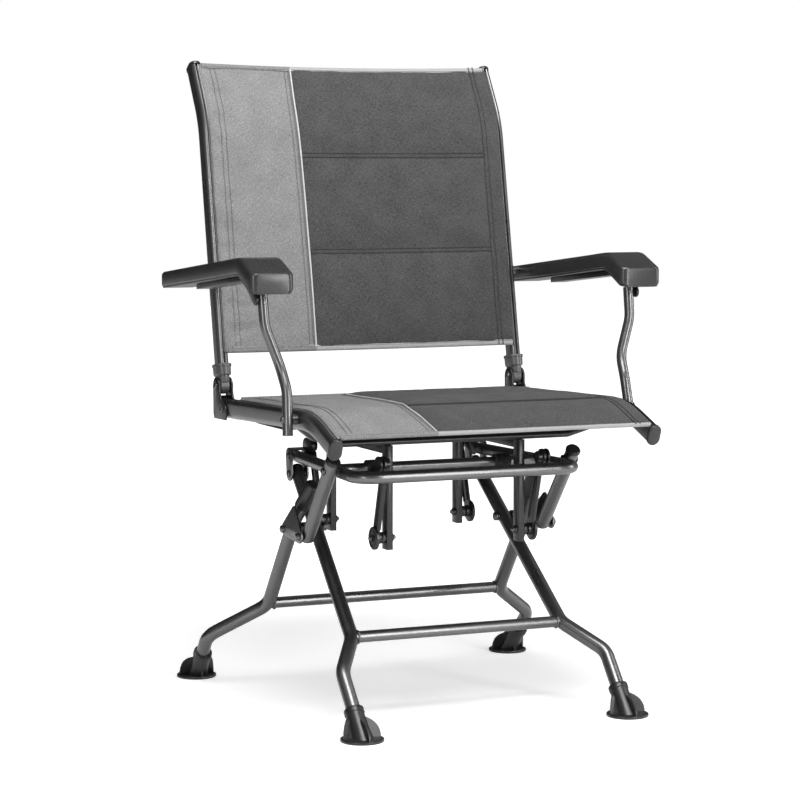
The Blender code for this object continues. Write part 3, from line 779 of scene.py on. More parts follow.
def end_plug(name, path, mat, body, node, width, depth):
    """A moulded oval end cap, slightly crowned."""
    along = (Vector(path[-1]) - Vector(path[-2])).normalized()
    start = Vector(path[-1])
    steps = [(0.4, 1.0), (4.6, 1.0), (5.6, 0.96), (6.3, 0.88)]
    line = [start + along * reach for reach, _ in steps]
    rings = sweep_rings(line, oval_section(width, depth))
    for ring, (_, share), middle in zip(rings, steps, line):
        for i, p in enumerate(ring):
            ring[i] = middle + (p - middle) * share
    verts, faces = skin(rings)
    cap = add_mesh(name, verts, faces, mat, body)
    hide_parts(node)


def build_seat_frame():
    for word, side, short in SIDES:
        path = rail_points(side)
        section = slotted_section(*RAIL_SECTION, 1)
        rail = tube("rail_tube_" + word, path, section, PAINT, "seat")
        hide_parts("seat_rail_" + word)
        end_plug("rail_end_" + word, path, PLASTIC, "seat", "rail_cap_" + word, 21, 34)
    for kind, (y, z), rise in (("front", (-120.0, 426.0), 31), ("rear", (112.0, 431.0), 23)):
        points = [(260, z + rise - 1.5), (236, z + 11), (196, z)]
        path = [(-x, y, h) for x, h in points] + [(x, y, h) for x, h in reversed(points)]
        path, section = rounded_path(path, 30, 8), oval_section(10, 20)
        bar = tube(f"seat_{kind}_tube", path, section, BLACK_STEEL, "seat", (0, 0, 1))
        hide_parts(f"seat_cross_{kind}")
        for word, side, _ in SIDES:
            foot = LINK_FOOT_FRONT if kind == "front" else LINK_FOOT_REAR
            lock_nut(f"post_nut_{kind}_{word}", side * 107.8, -side, foot, 8.5, "seat")
            spacer = [(118.2, 8.5), (119, 9), (124.4, 9), (125.2, 8.5)]
            turned(f"post_spacer_{kind}_{word}", foot, [(side * x, r) for x, r in spacer], PLASTIC, "seat")
    for word, side, _ in SIDES:
        for name, face in (("outer", side), ("inner", -side)):
            x = side * RAIL_X + face * 12.4
            button_head(f"bracket_rail_bolt_{name}_{word}", x, face, (178, 456), 4.6, "seat")
            button_head(f"hinge_bolt_{name}_{word}", x, face, BACK_PIVOT, 6.2, "seat")


def build_back_frame():
    for word, side, short in SIDES:
        path = upright_points(side)
        section = slotted_section(*RAIL_SECTION, -1)
        tube("upright_tube_" + word, path, section, PAINT, "back")
        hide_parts("back_upright_" + word)
        end_plug("upright_end_" + word, path, PLASTIC, "back", "upright_cap_" + word, 20, 34)
        build_hinge_socket(word, side)


def build_hinge_socket(word, side):
    """The oval socket under an upright: a rim, a tall barrel, a neck between the cheeks and two ribs."""
    pivot = Vector(BACK_PIVOT)
    along = Vector((math.sin(BACK_LEAN), math.cos(BACK_LEAN)))
    out = Vector((along.y, -along.x))
    stations = [(17.0, 0.94, 0.9), (18.2, 1.0, 0.96), (20.5, 1.02, 0.99), (31.0, 1.04, 1.0)]
    stations += [(31.4, 1.13, 1.04), (35.2, 1.13, 1.04), (36.0, 1.08, 1.02), (36.1, 0.9, 0.93)]
    line = [side_point(side * RAIL_X, pivot + along * s) for s, _, _ in stations]
    barrel = sweep_rings(line, oval_section(24.4, 38.0, 14))
    for ring, middle, (_, wide, deep) in zip(barrel, line, stations):
        for i, p in enumerate(ring):
            ring[i] = middle + (p - middle) * Vector((wide, deep, deep))
    verts, faces = skin(barrel)
    socket = add_mesh("hinge_socket_" + word, verts, faces, SLEEVE_PLASTIC, "back")
    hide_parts("hinge_sleeve_" + word)
    base = side_point(side * RAIL_X, pivot - out * 8.0)
    profile = [(4.0, 6.0), (4.6, 8.2), (6.0, 8.9), (16.4, 8.9)]
    profile += [(17.0, 11.0), (18.0, 11.8), (30.6, 12.2), (31.0, 10.0)]
    turned_about("hinge_barrel_" + word, base, side_point(0, along), profile, SLEEVE_PLASTIC, "back", 40)
    neck = [(pivot, 12.6)]
    neck += [(pivot + along * 18.5 + out * w, 3.0) for w in (-11.5, 11.5)]
    outline = hull_outline([((c.x, c.y), r) for c, r in neck])
    x = side * RAIL_X
    plate("hinge_neck_" + word, outline, x - 7.8, x + 7.8, SLEEVE_PLASTIC, "back", 1.6)
    for index, shift in enumerate((-6.4, 6.4)):
        fin = [pivot + along * s + out * w for s, w in ((9, 8), (19, 17.4), (31, 20.2), (31, 14), (9, 3))]
        plate(f"hinge_rib_{word}_{index}", fin, x + shift - 1.2, x + shift + 1.2, SLEEVE_PLASTIC, "back", 0.5)


def soft_outline(x_in, x_out, z_low, z_high, top=7.0, soft=3.5, steps=5):
    """A rectangle with well rounded upper corners and tighter lower ones."""
    corners = [
        (x_out - soft, z_low + soft, soft, -90),
        (x_out - top, z_high - top, top, 0),
        (x_in + top, z_high - top, top, 90),
        (x_in + soft, z_low + soft, soft, 180),
    ]
    points = []
    for cx, cz, radius, start in corners:
        for i in range(steps + 1):
            angle = math.radians(start + 90 * i / steps)
            points.append((cx + radius * math.cos(angle), cz + radius * math.sin(angle)))
    return points


LIP = 2.4


def build_armrest(word, side, short):
    """The moulded rest: a shell over a base that is set in a little, which leaves a shadow line under it."""
    body = "arm_" + short
    stations = [
        (281.0, 297.0, 341.0, 655.0, 673.0, 6, 3),
        (280.2, 294.5, 343.5, 652.4, 675.6, 6, 3),
        (277.8, 292.8, 345.2, 651.0, 677.0, 6, 3),
        (273.0, 292.2, 346.0, 651.0, 677.9, 6, 3),
        (120.0, 286.5, 346.6, 665.0, 692.3, 6, 3),
        (-20.0, 281.0, 347.3, 678.3, 705.4, 6.5, 3),
        (-62.0, 279.0, 347.7, 682.4, 709.6, 7, 3),
        (-80.0, 278.0, 347.9, 684.0, 711.2, 7.5, 3),
        (-90.0, 277.5, 348.0, 684.0, 711.8, 8, 3),
        (-99.0, 277.3, 348.0, 681.5, 711.0, 8, 3),
        (-107.0, 277.2, 348.0, 677.8, 708.4, 8, 3),
        (-128.0, 277.2, 348.0, 667.8, 698.8, 7, 3),
        (-142.0, 277.2, 348.0, 661.0, 692.4, 6, 3),
    ]
    for k in range(1, 8):
        turn = math.radians(90 * k / 7)
        reach, inset = 10.8 * math.sin(turn), 10.8 * (1 - math.cos(turn))
        fall = 0.3 * reach + (1.6 if k == 7 else 0.0)
        across = (277.2 + inset, 348.0 - inset)
        stations.append((-142.0 - reach, *across, 661.0 - 0.25 * reach, 692.4 - fall, 6, 3))
    middle = 0.5 * (stations[0][0] + stations[-1][0])
    for part, rim, mat in (("shell", 0.0, ARM_PLASTIC), ("base", 1.3, PLASTIC)):
        rings = []
        for y, x_in, x_out, z_low, z_high, top, soft in stations:
            y -= math.copysign(rim, y - middle)
            if rim:
                outline = soft_outline(x_in + rim, x_out - rim, z_low, z_low + 6.0, 1.2, 1.2)
            else:
                outline = soft_outline(x_in, x_out, z_low + LIP, z_high, top, soft)
            rings.append([Vector((side * x, y, z)) for x, z in outline])
        verts, faces = skin(rings)
        rest = add_mesh(f"arm_{part}_{word}", verts, faces, mat, body, 48)
        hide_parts("armrest_" + word)
    spacer = [(274.6, 6.4), (275.2, 7.2), (283.5, 7.2), (284.2, 6.0), (292.6, 6.0)]
    turned("arm_pivot_" + word, ARM_PIVOT, [(side * x, r) for x, r in spacer], BOLT, body)


def build_arm_strut(word, side, short):
    body = "arm_strut_" + short
    points = [(313, -107, 656), (312, -115, 608), (291, -124, 548), (288, -145, 512), (292, -158, 446)]
    path = rounded_path([(side * x, y, z) for x, y, z in points], 70, 12)
    strut = tube("arm_strut_tube_" + word, path, round_section(8.0, 28), PAINT, body)
    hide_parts("arm_strut_" + word)
    button_head("arm_strut_bolt_" + word, side * 298.0, side, ARM_STRUT_FOOT, 5.0, body)
    spacer = [(274.4, 6.4), (275, 7), (281.5, 7), (283.6, 6.2)]
    turned("arm_strut_spacer_" + word, ARM_STRUT_FOOT, [(side * x, r) for x, r in spacer], PLASTIC, body)


def polish(names, mat, width=0.6):
    """Gives carried-over CAD nodes their material, merged vertices, softened edges and smooth shading."""
    for name in names:
        obj = frame["nodes"][name]
        obj.data.materials.clear()
        obj.data.materials.append(mat)
        if "custom_normal" in obj.data.attributes:
            obj.data.attributes.remove(obj.data.attributes["custom_normal"])
        weld = obj.modifiers.new("weld", "WELD")
        weld.merge_threshold = 0.00001
        if width:
            bevel(obj, width, 2, 40)
        obj.data.shade_smooth()


def pair(*names):
    return [f"{name}_{word}" for name in names for word in ("left", "right")]


build_base()
build_legs()
build_struts()
build_links()
build_seat_frame()
build_back_frame()
for word, side, short in SIDES:
    build_armrest(word, side, short)
    build_arm_strut(word, side, short)
polish(pair("knuckle", "strut_bracket"), PAINT)
polish(pair("post_front", "post_rear", "seat_bar"), BLACK_STEEL)
polish(pair("link_ear_front", "link_ear_rear", "hinge_bracket", "arm_bar"), BLACK_STEEL)
polish(pair("crossing_bolt"), BOLT, 0)

# ---------------------------------------------------------------- fabric


class Sling:
    """Cloth stretched between two side tubes. A place on it is (across, along, out), in millimetres."""

    def __init__(self, line, half, bow, face, up):
        self.line = [Vector(p) for p in line]
        self.reach = [0.0]
        for a, b in zip(self.line, self.line[1:]):
            self.reach.append(self.reach[-1] + (b - a).length)
        self.length = self.reach[-1]
        self.half, self.bow, self.face, self.up = half, bow, face, Vector(up)

    def on_line(self, along):
        k = 1
        while k < len(self.reach) - 1 and self.reach[k] < along:
            k += 1
        share = (along - self.reach[k - 1]) / (self.reach[k] - self.reach[k - 1])
        return self.line[k - 1].lerp(self.line[k], share)

    def point(self, across, along, out=0.0):
        base = self.on_line(along)
        run = self.on_line(along + 6) - self.on_line(along - 6)
        normal = Vector((-run.y, run.x)).normalized()
        if normal.dot(self.up) < 0:
            normal = -normal
        depth = self.bow * (1 - (across / self.half) ** 2)
        spot = base + normal * (self.face - depth + out)
        return Vector((across, spot.x, spot.y))

    def along_at(self, y=None, z=None):
        """The length along at which the line passes a given y or z."""
        pick = (lambda p: p.x) if y is not None else (lambda p: p.y)
        goal = y if y is not None else z
        ends = sorted((pick(self.line[0]), pick(self.line[-1])))
        goal = min(max(goal, ends[0] + 0.001), ends[1] - 0.001)
        for k, (a, b) in enumerate(zip(self.line, self.line[1:])):
            if min(pick(a), pick(b)) <= goal <= max(pick(a), pick(b)):
                return self.reach[k] + (goal - pick(a)) / (pick(b) - pick(a)) * (b - a).length
        return self.length


def spread(marks, step):
    """Stations that hit every mark and are about a step apart in between."""
    marks = sorted(marks)
    stations = [marks[0]]
    for low, high in zip(marks, marks[1:]):
        count = max(1, round((high - low) / step))
        stations += [low + (high - low) * (k + 1) / count for k in range(count)]
    return stations


def curve(points):
    """A smooth value through (place, value) pairs."""
    places, values = zip(*points)

    def slope(k):
        low, high = max(k - 1, 0), min(k + 1, len(places) - 1)
        return (values[high] - values[low]) / (places[high] - places[low])

    def at(place):
        if place <= places[0]:
            return values[0]
        if place >= places[-1]:
            return values[-1]
        k = max(i for i, p in enumerate(places) if p <= place)
        run, rise = places[k + 1] - places[k], values[k + 1] - values[k]
        share = (place - places[k]) / run
        leave, arrive = slope(k) * run, slope(k + 1) * run
        bend = 3 * rise - 2 * leave - arrive + share * (leave + arrive - 2 * rise)
        return values[k] + share * (leave + share * bend)

    return at


def shell(name, sling, across, along, out, thick, mat, body):
    """A closed sheet over a grid of stations. across(along) lists the stations at that length."""
    rows = [across(s) for s in along]
    count = len(rows[0])
    verts, uv = [], []
    for side in (0, 1):
        for s, row in zip(along, rows):
            for x in row:
                lift = out(x, s)
                verts.append(sling.point(x, s, lift if side == 0 else min(lift - thick, -thick)))
                uv.append((x * MM, s * MM))
    faces = []
    span_rows = len(along)
    half = span_rows * count
    for j in range(span_rows - 1):
        for i in range(count - 1):
            a = j * count + i
            faces.append((a, a + 1, a + 1 + count, a + count))
            faces.append((half + a, half + a + count, half + a + 1 + count, half + a + 1))
    edge = [i for i in range(count)]
    edge += [j * count + count - 1 for j in range(1, span_rows)]
    edge += [(span_rows - 1) * count + i for i in range(count - 2, -1, -1)]
    edge += [j * count for j in range(span_rows - 2, 0, -1)]
    for a, b in zip(edge, edge[1:] + edge[:1]):
        faces.append((a, half + a, half + b, b))
    obj = add_mesh(name, verts, faces, mat, body, 180, uv)
    smooth = obj.modifiers.new("subdivide", "SUBSURF")
    smooth.levels = smooth.render_levels = 1
    return obj


def inflate(obj, free, cap, pressure=4.0, frames=20):
    """Swells the free vertices with Blender's cloth, capped at a distance, and leaves no Cloth behind."""
    scene = bpy.context.scene
    work = bpy.data.objects.new(obj.name + "_work", obj.data.copy())
    scene.collection.objects.link(work)
    pinned = work.vertex_groups.new(name="pinned")
    for index in range(len(work.data.vertices)):
        if index not in free:
            pinned.add([index], 1.0, "REPLACE")
    cloth = work.modifiers.new("cloth", "CLOTH")
    settings = cloth.settings
    settings.quality = 6
    settings.mass = 0.25
    settings.tension_stiffness = settings.compression_stiffness = 12.0
    settings.shear_stiffness = 6.0
    settings.bending_stiffness = 0.6
    settings.shrink_min = -0.003
    settings.use_pressure = True
    settings.uniform_pressure_force = pressure
    settings.vertex_group_mass = "pinned"
    settings.effector_weights.gravity = 0.0
    cloth.point_cache.frame_start, cloth.point_cache.frame_end = 1, frames
    for frame_number in range(1, frames + 1):
        scene.frame_set(frame_number)
    evaluated = work.evaluated_get(bpy.context.evaluated_depsgraph_get())
    moved = np.zeros(len(obj.data.vertices) * 3)
    evaluated.data.vertices.foreach_get("co", moved)
    rest = np.zeros_like(moved)
    obj.data.vertices.foreach_get("co", rest)
    step = (moved - rest).reshape(-1, 3)
    size = np.linalg.norm(step, axis=1, keepdims=True)
    limit = cap * MM
    step *= np.minimum(1.0, limit * np.tanh(size / limit) / np.maximum(size, 1e-9))
    obj.data.vertices.foreach_set("co", (rest.reshape(-1, 3) + step).ravel())
    obj.data.update()
    scene.frame_set(1)
    bpy.data.objects.remove(work, do_unlink=True)
    return obj


def quilted(name, sling, low_edge, channels, padding, body):
    """A padded panel sewn down along its edges and along pairs of lines across it.

    The padding is (the foam's height, how far it rolls off towards a seam, the most that it may swell).
    """
    foam, roll, cap = padding
    start, end = PAD_END, sling.length - PAD_END
    along = spread([start, end] + [s + d for s in channels for d in (-CHANNEL_HALF, 0, CHANNEL_HALF)], 7.5)
    shares = spread([0.0, 1.0], 1 / 46)
    lines = [start, end] + [s + d for s in channels for d in (-CHANNEL_HALF, CHANNEL_HALF)]

    def across(s):
        return [low_edge(s) + (PAD_EDGE - low_edge(s)) * t for t in shares]

    def distance(x, s):
        near = min(abs(s - line) for line in lines)
        return min(near, x - low_edge(s), PAD_EDGE - x)

    def out(x, s):
        if any(abs(s - c) < CHANNEL_HALF - 0.1 for c in channels):
            return CHANNEL_OUT + 1.5
        return CHANNEL_OUT + foam * (1 - math.exp(-max(0.0, distance(x, s)) / roll))

    obj = shell(name, sling, across, along, out, 1.8, DARK_CLOTH, body)
    free = set()
    count = len(shares)
    for j, s in enumerate(along):
        for i, x in enumerate(across(s)):
            if distance(x, s) > 1.0 and not any(abs(s - c) <= CHANNEL_HALF + 0.1 for c in channels):
                free.add(j * count + i)
    return inflate(obj, free, cap)


def stitches(name, sling, lines, out, mat, body, long=3.4, gap=0.9, radius=0.55, zigzag=0.0):
    """Sewn thread along polylines of (across, along). A zigzag steps to each side in turn."""
    verts, faces = [], []
    around = 5
    for line in lines:
        run, spots = 0.0, []
        for a, b in zip(line, line[1:]):
            length = math.dist(a, b)
            while run < length:
                spots.append((a, b, run / length, length))
                run += long + gap
            run -= length
        for k, (a, b, share, length) in enumerate(spots):
            heading = ((b[0] - a[0]) / length, (b[1] - a[1]) / length)
            sway = zigzag if k % 2 else -zigzag
            rings = []
            for t, lift, size in ((0.0, -0.25, 0.6), (0.2, 0.2, 1.0), (0.8, 0.2, 1.0), (1.0, -0.25, 0.6)):
                slide = (2 * t - 1) * sway
                x = a[0] + (b[0] - a[0]) * share + heading[0] * t * long - heading[1] * slide
                s = a[1] + (b[1] - a[1]) * share + heading[1] * t * long + heading[0] * slide
                height = out(x, s) if callable(out) else out
                centre = sling.point(x, s, height + lift)
                upward = (sling.point(x, s, height + lift + 1) - centre).normalized()
                ahead = sling.point(x + heading[0], s + heading[1], height) - sling.point(x, s, height)
                ahead.normalize()
                aside = ahead.cross(upward)
                ring = []
                for i in range(around):
                    angle = 2 * math.pi * i / around
                    ring.append(centre + (aside * math.cos(angle) + upward * math.sin(angle)) * radius * size)
                rings.append(ring)
            more, sides = skin(rings)
            faces += [tuple(len(verts) + i for i in face) for face in sides]
            verts += more
    return add_mesh(name, verts, faces, mat, body, 180)


def binding(name, sling, at_end, depth, mat, body, low=-257.5, high=257.5, front=1.5, back=-4.6):
    """Tape folded over a cut edge, a little uneven along its length."""
    limit = sling.length if at_end else 0.0
    inward = -1 if at_end else 1
    rings, uv = [], []
    stations = spread([low, high], 7.0)
    for x in stations:
        wave = 0.35 * math.sin(x / 23.0) + 0.25 * math.sin(x / 9.0 + 1)
        reach = depth + wave
        section = [(reach, front - 1.3), (reach, front - 0.4), (reach - 0.8, front + wave * 0.3)]
        section += [(depth / 2, front + 0.4), (1.6, front), (0.2, front - 1.0), (-0.5, front - 3.0)]
        section += [(0.2, back + 1.0), (1.6, back), (depth / 2, back - 0.2), (depth - 0.8, back)]
        section += [(depth, back + 0.4), (depth, back + 1.2)]
        rings.append([sling.point(x, limit + inward * s, out) for s, out in section])
        uv += [(x * MM, (s + out) * MM) for s, out in section]
    verts, faces = skin(rings)
    return add_mesh(name, verts, faces, mat, body, 60, uv)


def piping(name, sling, path, out, radius, mat, body):
    centres = [sling.point(x, s, out) for x, s in path]
    rings = []
    for i, centre in enumerate(centres):
        ahead = (centres[min(i + 1, len(centres) - 1)] - centres[max(i - 1, 0)]).normalized()
        upward = (sling.point(*path[i], out + 1) - centre).normalized()
        aside = ahead.cross(upward)
        rings.append([centre + aside * u + upward * v for u, v in round_section(radius, 12)])
    uv = [(k % 12 * radius * 0.5 * MM, path[k // 12][1] * MM) for k in range(12 * len(rings))]
    verts, faces = skin(rings)
    return add_mesh(name, verts, faces, mat, body, 80, uv)


CHANNEL_HALF = 3.3
CHANNEL_OUT = 0.4
PAD_EDGE = 231.5
PAD_END = 4.0


def crease(x, s, cx, cs, heading, length, width, height):
    """One soft wrinkle: a ridge through (cx, cs) at an angle, fading out along its length."""
    c, d = math.cos(heading), math.sin(heading)
    along = (x - cx) * c + (s - cs) * d
    across = -(x - cx) * d + (s - cs) * c
    return height * math.exp(-((along / length) ** 2) - (across / width) ** 2)


def light_back_out(x, s):
    """Slack near the lower corner, and pulls along the side seam."""
    ripple = 0.9 * noise.noise(Vector((x / 60.0, s / 42.0, 3.0)))
    rim = math.exp(-(((x + 250) / 30.0) ** 2))
    ripple += rim * 0.9 * math.sin(s / 7.0 + 2 * noise.noise(Vector((s / 60.0, 1, 1))))
    ripple *= min(1.0, (x + SLOT_REACH) / 16.0)
    corner = 0.0
    for cx, cs, heading, length, width, height in CORNER_CREASES:
        corner += crease(x, s, cx, cs, heading, length, width, height)
    return ripple + corner * min(1.0, (x + SLOT_REACH) / 16.0) + tuck(x)


def tuck(x):
    """The cloth's edge dips into the groove of the side tube."""
    reach = max(0.0, abs(x) - 258.5) / 6.3
    return -4.6 * reach * reach


CORNER_CREASES = (
    (-232, 22, 0.35, 26, 3.6, 1.7),
    (-226, 38, 0.15, 24, 4.0, -1.3),
    (-236, 52, 0.0, 22, 3.6, 1.5),
    (-228, 68, -0.12, 30, 4.4, 1.1),
    (-236, 88, -0.2, 24, 4.0, 1.2),
    (-224, 112, -0.3, 28, 5.0, 0.9),
    (-170, 24, 0.1, 40, 4.2, 0.8),
    (-232, 140, -0.1, 24, 4.0, 0.9),
    (-130, 30, -0.3, 24, 5.0, 0.7),
    (-235, 440, 0.3, 30, 5.0, 0.9),
    (-150, 452, -0.1, 50, 6.0, 0.8),
)


def build_cloth(part, sling, seam, channels, out, band_out, look):
    """One sling: lining, light panel, padded panel, side band, hems, piping and all the stitching."""
    end = sling.length
    fine = spread([1.0, end - 1.0], look["row"])
    shares = spread([0.0, 1.0], 1 / look["columns"])
    lining = spread([-SLOT_REACH, -258.0, 258.0, SLOT_REACH], look["lining"])
    band = spread([PAD_EDGE - 1.0, SLOT_REACH], look["band"])
    shell(part + "_lining", sling, lambda s: lining, spread([0.0, end], 9.0), lambda x, s: tuck(x) - 2.1, 1.2,
          BACKING, part)
    shell(part + "_light_panel", sling, lambda s: [-SLOT_REACH + (seam(s) + SLOT_REACH) * t for t in shares],
          fine, out, 1.6, LIGHT_CLOTH, part)
    pad = quilted(part + "_padded_panel", sling, lambda s: seam(s) + 0.5, channels, look["foam"], part)
    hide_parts(part + "_sling")
    shell(part + "_side_band", sling, lambda s: band, fine, band_out, 1.6, DARK_CLOTH, part)
    for name, limit in zip(look["hems"], (end, 0.0)):
        hem = (sling, limit > 0, look["hem"])
        binding(f"{part}_{name}_binding_light", *hem, LIGHT_CLOTH, part, high=seam(limit) - 0.3)
        binding(f"{part}_{name}_binding", *hem, HEM_CLOTH, part, low=seam(limit))
    seam_path = [(seam(s), s) for s in spread([6.0, end - 6.0], 8.0)]
    piping(part + "_piping", sling, seam_path, *look["piping"], PIPING, part)

    def sew(name, lines, height, thread, *gauge):
        stitches(f"{part}_{name}", sling, lines, height, thread, part, *gauge)

    rows = [c + shift for c in channels for shift in (-CHANNEL_HALF, CHANNEL_HALF)]
    rows = [[(seam(s) + 2, s), (PAD_EDGE - 1, s)] for s in rows]
    sew("channel_stitching", rows, CHANNEL_OUT + 1.5, DARK_THREAD, 3.6, 0.5, 0.65)
    outer, inner = [[(x, 1.0), (x, end - 1.0)] for x in (PAD_EDGE + 7.5, PAD_EDGE + 0.2)]
    sew("side_stitching", [outer], 1.3, DARK_THREAD)
    sew("side_stitching_inner", [inner], 1.0, DARK_THREAD)
    zig = [[(seam(s) - shift, s) for s in spread([12.0, end - 12.0], 12.0)] for shift in look["seam_rows"]]
    zig += [[(x, 12.0), (x, end - 12.0)] for x in (-243.5, -235.0)]
    sew("light_stitching", zig, lambda x, s: out(x, s) + 0.6, LIGHT_THREAD, 2.4, 0.9, 0.45, 0.9)
    hem = [[(-256, s), (256, s)] for s in (look["hem_row"], end - look["hem_row"])]
    sew("binding_stitching", hem, 1.75, LIGHT_THREAD)
    before, after, low, high = look["tack"]
    tacks = [[(x, s - before), (x, s + after)] for x in (PAD_EDGE, PAD_EDGE + 7.5) for s in (low, end - high)]
    sew("bartacks", tacks, 2.2, DARK_THREAD, 1.6, 0.1, 0.6, 1.2)


def sling_line(points, start_at, axis):
    """A side tube's centre line as (y, z), from where the cloth starts."""
    path = [Vector((p.y, p.z)) for p in points]
    share = (start_at - path[0][axis]) / (path[1][axis] - path[0][axis])
    return [path[0].lerp(path[1], share)] + path[1:]


# The seams' places, as (z, x) on the back and (y, x) on the seat.
BACK_SEAM = (
    (543, -101.4), (660, -101), (738, -101.8), (795, -102.5), (866, -104), (937, -105.5), (1008, -99),
)
BACK_CHANNELS = (866.3, 706.7)
BACK_LOOK = {
    "row": 4.5, "columns": 38, "lining": 12.0, "band": 3.3, "foam": (3.4, 4.5, 4.0),
    "hems": ("top", "bottom"), "hem": 9.0, "hem_row": 7.2, "piping": (1.7, 1.5),
    "seam_rows": (4.0, 10.5), "tack": (5.0, 6.0, 5.5, 6.5),
}
SEAT_SEAM = ((142, -77), (46, -83), (-46, -88), (-140, -101), (-195, -110), (-232, -106), (-280, -101))
SEAT_CHANNELS = (88.0, -45.0, -177.0)
SEAT_LOOK = {
    "row": 5.0, "columns": 32, "lining": 9.0, "band": 3.0, "foam": (5.4, 9.0, 5.0),
    "hems": ("front", "rear"), "hem": 5.0, "hem_row": 3.6, "piping": (0.9, 1.1),
    "seam_rows": (5.0, 11.0), "tack": (4.5, 5.0, 5.0, 5.5),
}


def light_seat_out(x, s):
    ripple = 0.8 * noise.noise(Vector((x / 55.0, s / 48.0, 8.0)))
    return ripple * min(1.0, (x + SLOT_REACH) / 16.0) + tuck(x)


def back_band_out(x, s):
    return 0.5 + 0.3 * math.sin(s / 11.0) * (SLOT_REACH - x) / 30.0 + tuck(x)


def seat_band_out(x, s):
    return 0.5 + tuck(x)


def build_back_cloth():
    sling = Sling(sling_line(upright_points(1), 543.5, 1), RAIL_X, 8.0, SLING_FACE, (-1, 0))
    seam = curve([(sling.along_at(z=z), x) for z, x in BACK_SEAM])
    channels = [sling.along_at(z=z) for z in BACK_CHANNELS]
    build_cloth("back", sling, seam, channels, light_back_out, back_band_out, BACK_LOOK)


def build_seat_cloth():
    sling = Sling(sling_line(rail_points(1), 142.0, 0), RAIL_X, 0.0, SLING_FACE, (0, 1))
    seam = curve([(sling.along_at(y=y), x) for y, x in SEAT_SEAM])
    channels = [sling.along_at(y=y) for y in SEAT_CHANNELS]
    build_cloth("seat", sling, seam, channels, light_seat_out, seat_band_out, SEAT_LOOK)


build_back_cloth()
build_seat_cloth()


# ---------------------------------------------------------------- stage


def floor_material():
    s = Shader("studio_floor", 0.6)
    cloud = s.noise(s.coords(), 3.0, 3.0)
    tone = s.ramp(cloud, [(0.3, grey(0.88)), (0.7, grey(0.92))])
    away = s.node("ShaderNodeVectorMath", Vector=s.coords())
    away.operation = "LENGTH"
    glow = s.span(away.outputs["Value"], 0.5, 1.9, FLOOR_GLOW, 1.0)
    seen = s.tree.nodes.new("ShaderNodeLightPath").outputs["Is Camera Ray"]
    glow = s.math("MULTIPLY", glow, s.span(seen, 0.0, 1.0, FLOOR_BOUNCE, 1.0))
    s.finish(tone, None, None, Specular_IOR_Level=0.0, Emission_Color=(1, 1, 1, 1), Emission_Strength=glow)
    return s.mat


FLOOR_GLOW = 0.42
FLOOR_BOUNCE = 0.2


def build_floor():
    mesh = bpy.data.meshes.new("studio_floor")
    verts, faces = [], []
    for ring, radius in enumerate((0.0, 0.6, 1.5, 4.0, 12.0)):
        for i in range(64):
            angle = 2 * math.pi * i / 64
            verts.append((radius * math.cos(angle), radius * math.sin(angle), 0.0))
            if ring:
                j = (i + 1) % 64
                low, high = (ring - 1) * 64, ring * 64
                face = (low + i, high + i, high + j)
                faces.append(face if ring == 1 else (*face, low + j))
    mesh.from_pydata(verts, [], faces)
    mesh.materials.append(floor_material())
    floor = bpy.data.objects.new("studio_floor", mesh)
    bpy.context.scene.collection.objects.link(floor)


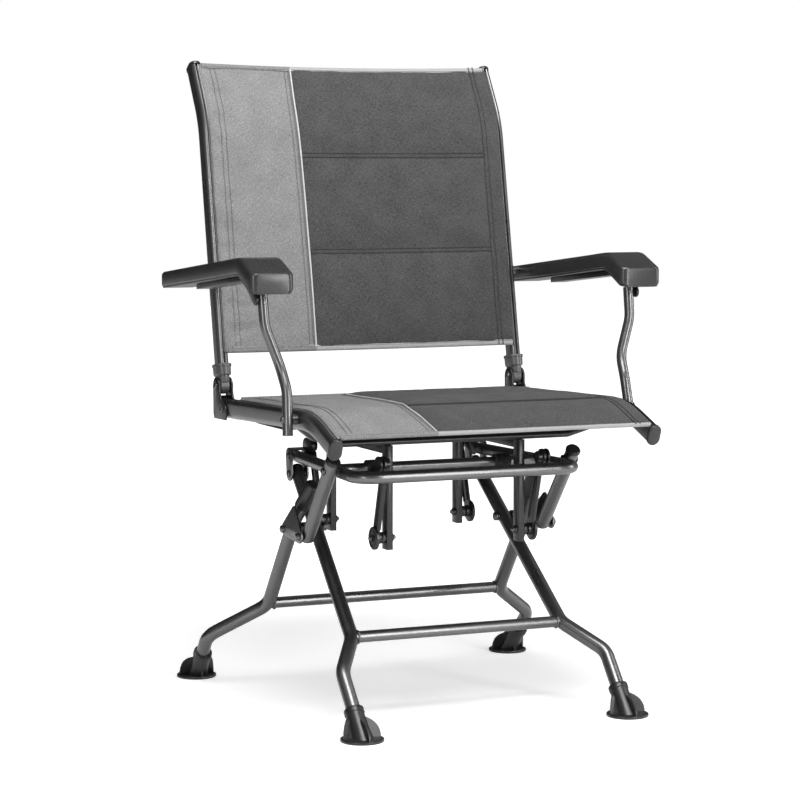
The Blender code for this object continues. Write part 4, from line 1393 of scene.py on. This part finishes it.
def build_world():
    """White to the camera, dimmer to everything else, and darkest behind the chair."""
    world = bpy.data.worlds.new("studio")
    bpy.context.scene.world = world
    world.use_nodes = True
    nodes, links = world.node_tree.nodes, world.node_tree.links
    output = nodes["World Output"]
    seen = nodes["Background"]
    seen.inputs["Color"].default_value = (1, 1, 1, 1)
    seen.inputs["Strength"].default_value = 1.0
    fill = nodes.new("ShaderNodeBackground")
    coords = nodes.new("ShaderNodeTexCoord")
    dot = nodes.new("ShaderNodeVectorMath")
    dot.operation = "DOT_PRODUCT"
    links.new(coords.outputs["Generated"], dot.inputs[0])
    dot.inputs[1].default_value = (-0.35, 0.93, 0.0)
    ramp = nodes.new("ShaderNodeMapRange")
    links.new(dot.outputs["Value"], ramp.inputs["Value"])
    for socket, value in zip(ramp.inputs[1:5], (0.0, 0.8, WORLD_FILL, WORLD_DARK)):
        socket.default_value = value
    links.new(ramp.outputs[0], fill.inputs["Strength"])
    path = nodes.new("ShaderNodeLightPath")
    mix = nodes.new("ShaderNodeMixShader")
    links.new(path.outputs["Is Camera Ray"], mix.inputs[0])
    links.new(fill.outputs[0], mix.inputs[1])
    links.new(seen.outputs[0], mix.inputs[2])
    links.new(mix.outputs[0], output.inputs["Surface"])


WORLD_FILL = 0.36
WORLD_DARK = 0.03


def softbox(name, place_at, aim, size, power):
    light = bpy.data.lights.new(name, "AREA")
    light.shape = "RECTANGLE"
    light.size, light.size_y = size
    light.energy = power
    lamp = bpy.data.objects.new(name, light)
    lamp.location = place_at
    lamp.rotation_euler = (Vector(aim) - Vector(place_at)).to_track_quat("-Z", "Y").to_euler()
    bpy.context.scene.collection.objects.link(lamp)


CAMERA_EYE = (-1.6506, -3.7277, 0.8393)
CAMERA_LENS = 114.4
CAMERA_TURN = (90 - 5.11, 0.0, -23.5)


def build_stage():
    build_floor()
    build_world()
    softbox("overhead", (-0.3, -1.0, 3.0), (0, 0, 0.4), (1.6, 1.6), 82)
    softbox("front_key", (1.2, -3.2, 1.3), (0, 0, 0.6), (0.6, 2.4), 52)
    softbox("left_fill", (-2.7, -2.2, 1.4), (0, 0, 0.6), (0.5, 2.4), 26)
    softbox("right_rim", (2.6, -1.0, 1.4), (0, 0, 0.6), (0.4, 2.2), 26)
    camera = bpy.data.cameras.new("camera")
    camera.sensor_width = 36.0
    camera.lens = CAMERA_LENS
    eye = bpy.data.objects.new("camera", camera)
    eye.location = CAMERA_EYE
    eye.rotation_euler = [math.radians(turn) for turn in CAMERA_TURN]
    bpy.context.scene.collection.objects.link(eye)
    bpy.context.scene.camera = eye
    bpy.context.scene.view_settings.view_transform = "Standard"
    bpy.context.scene.view_settings.look = "None"


build_stage()
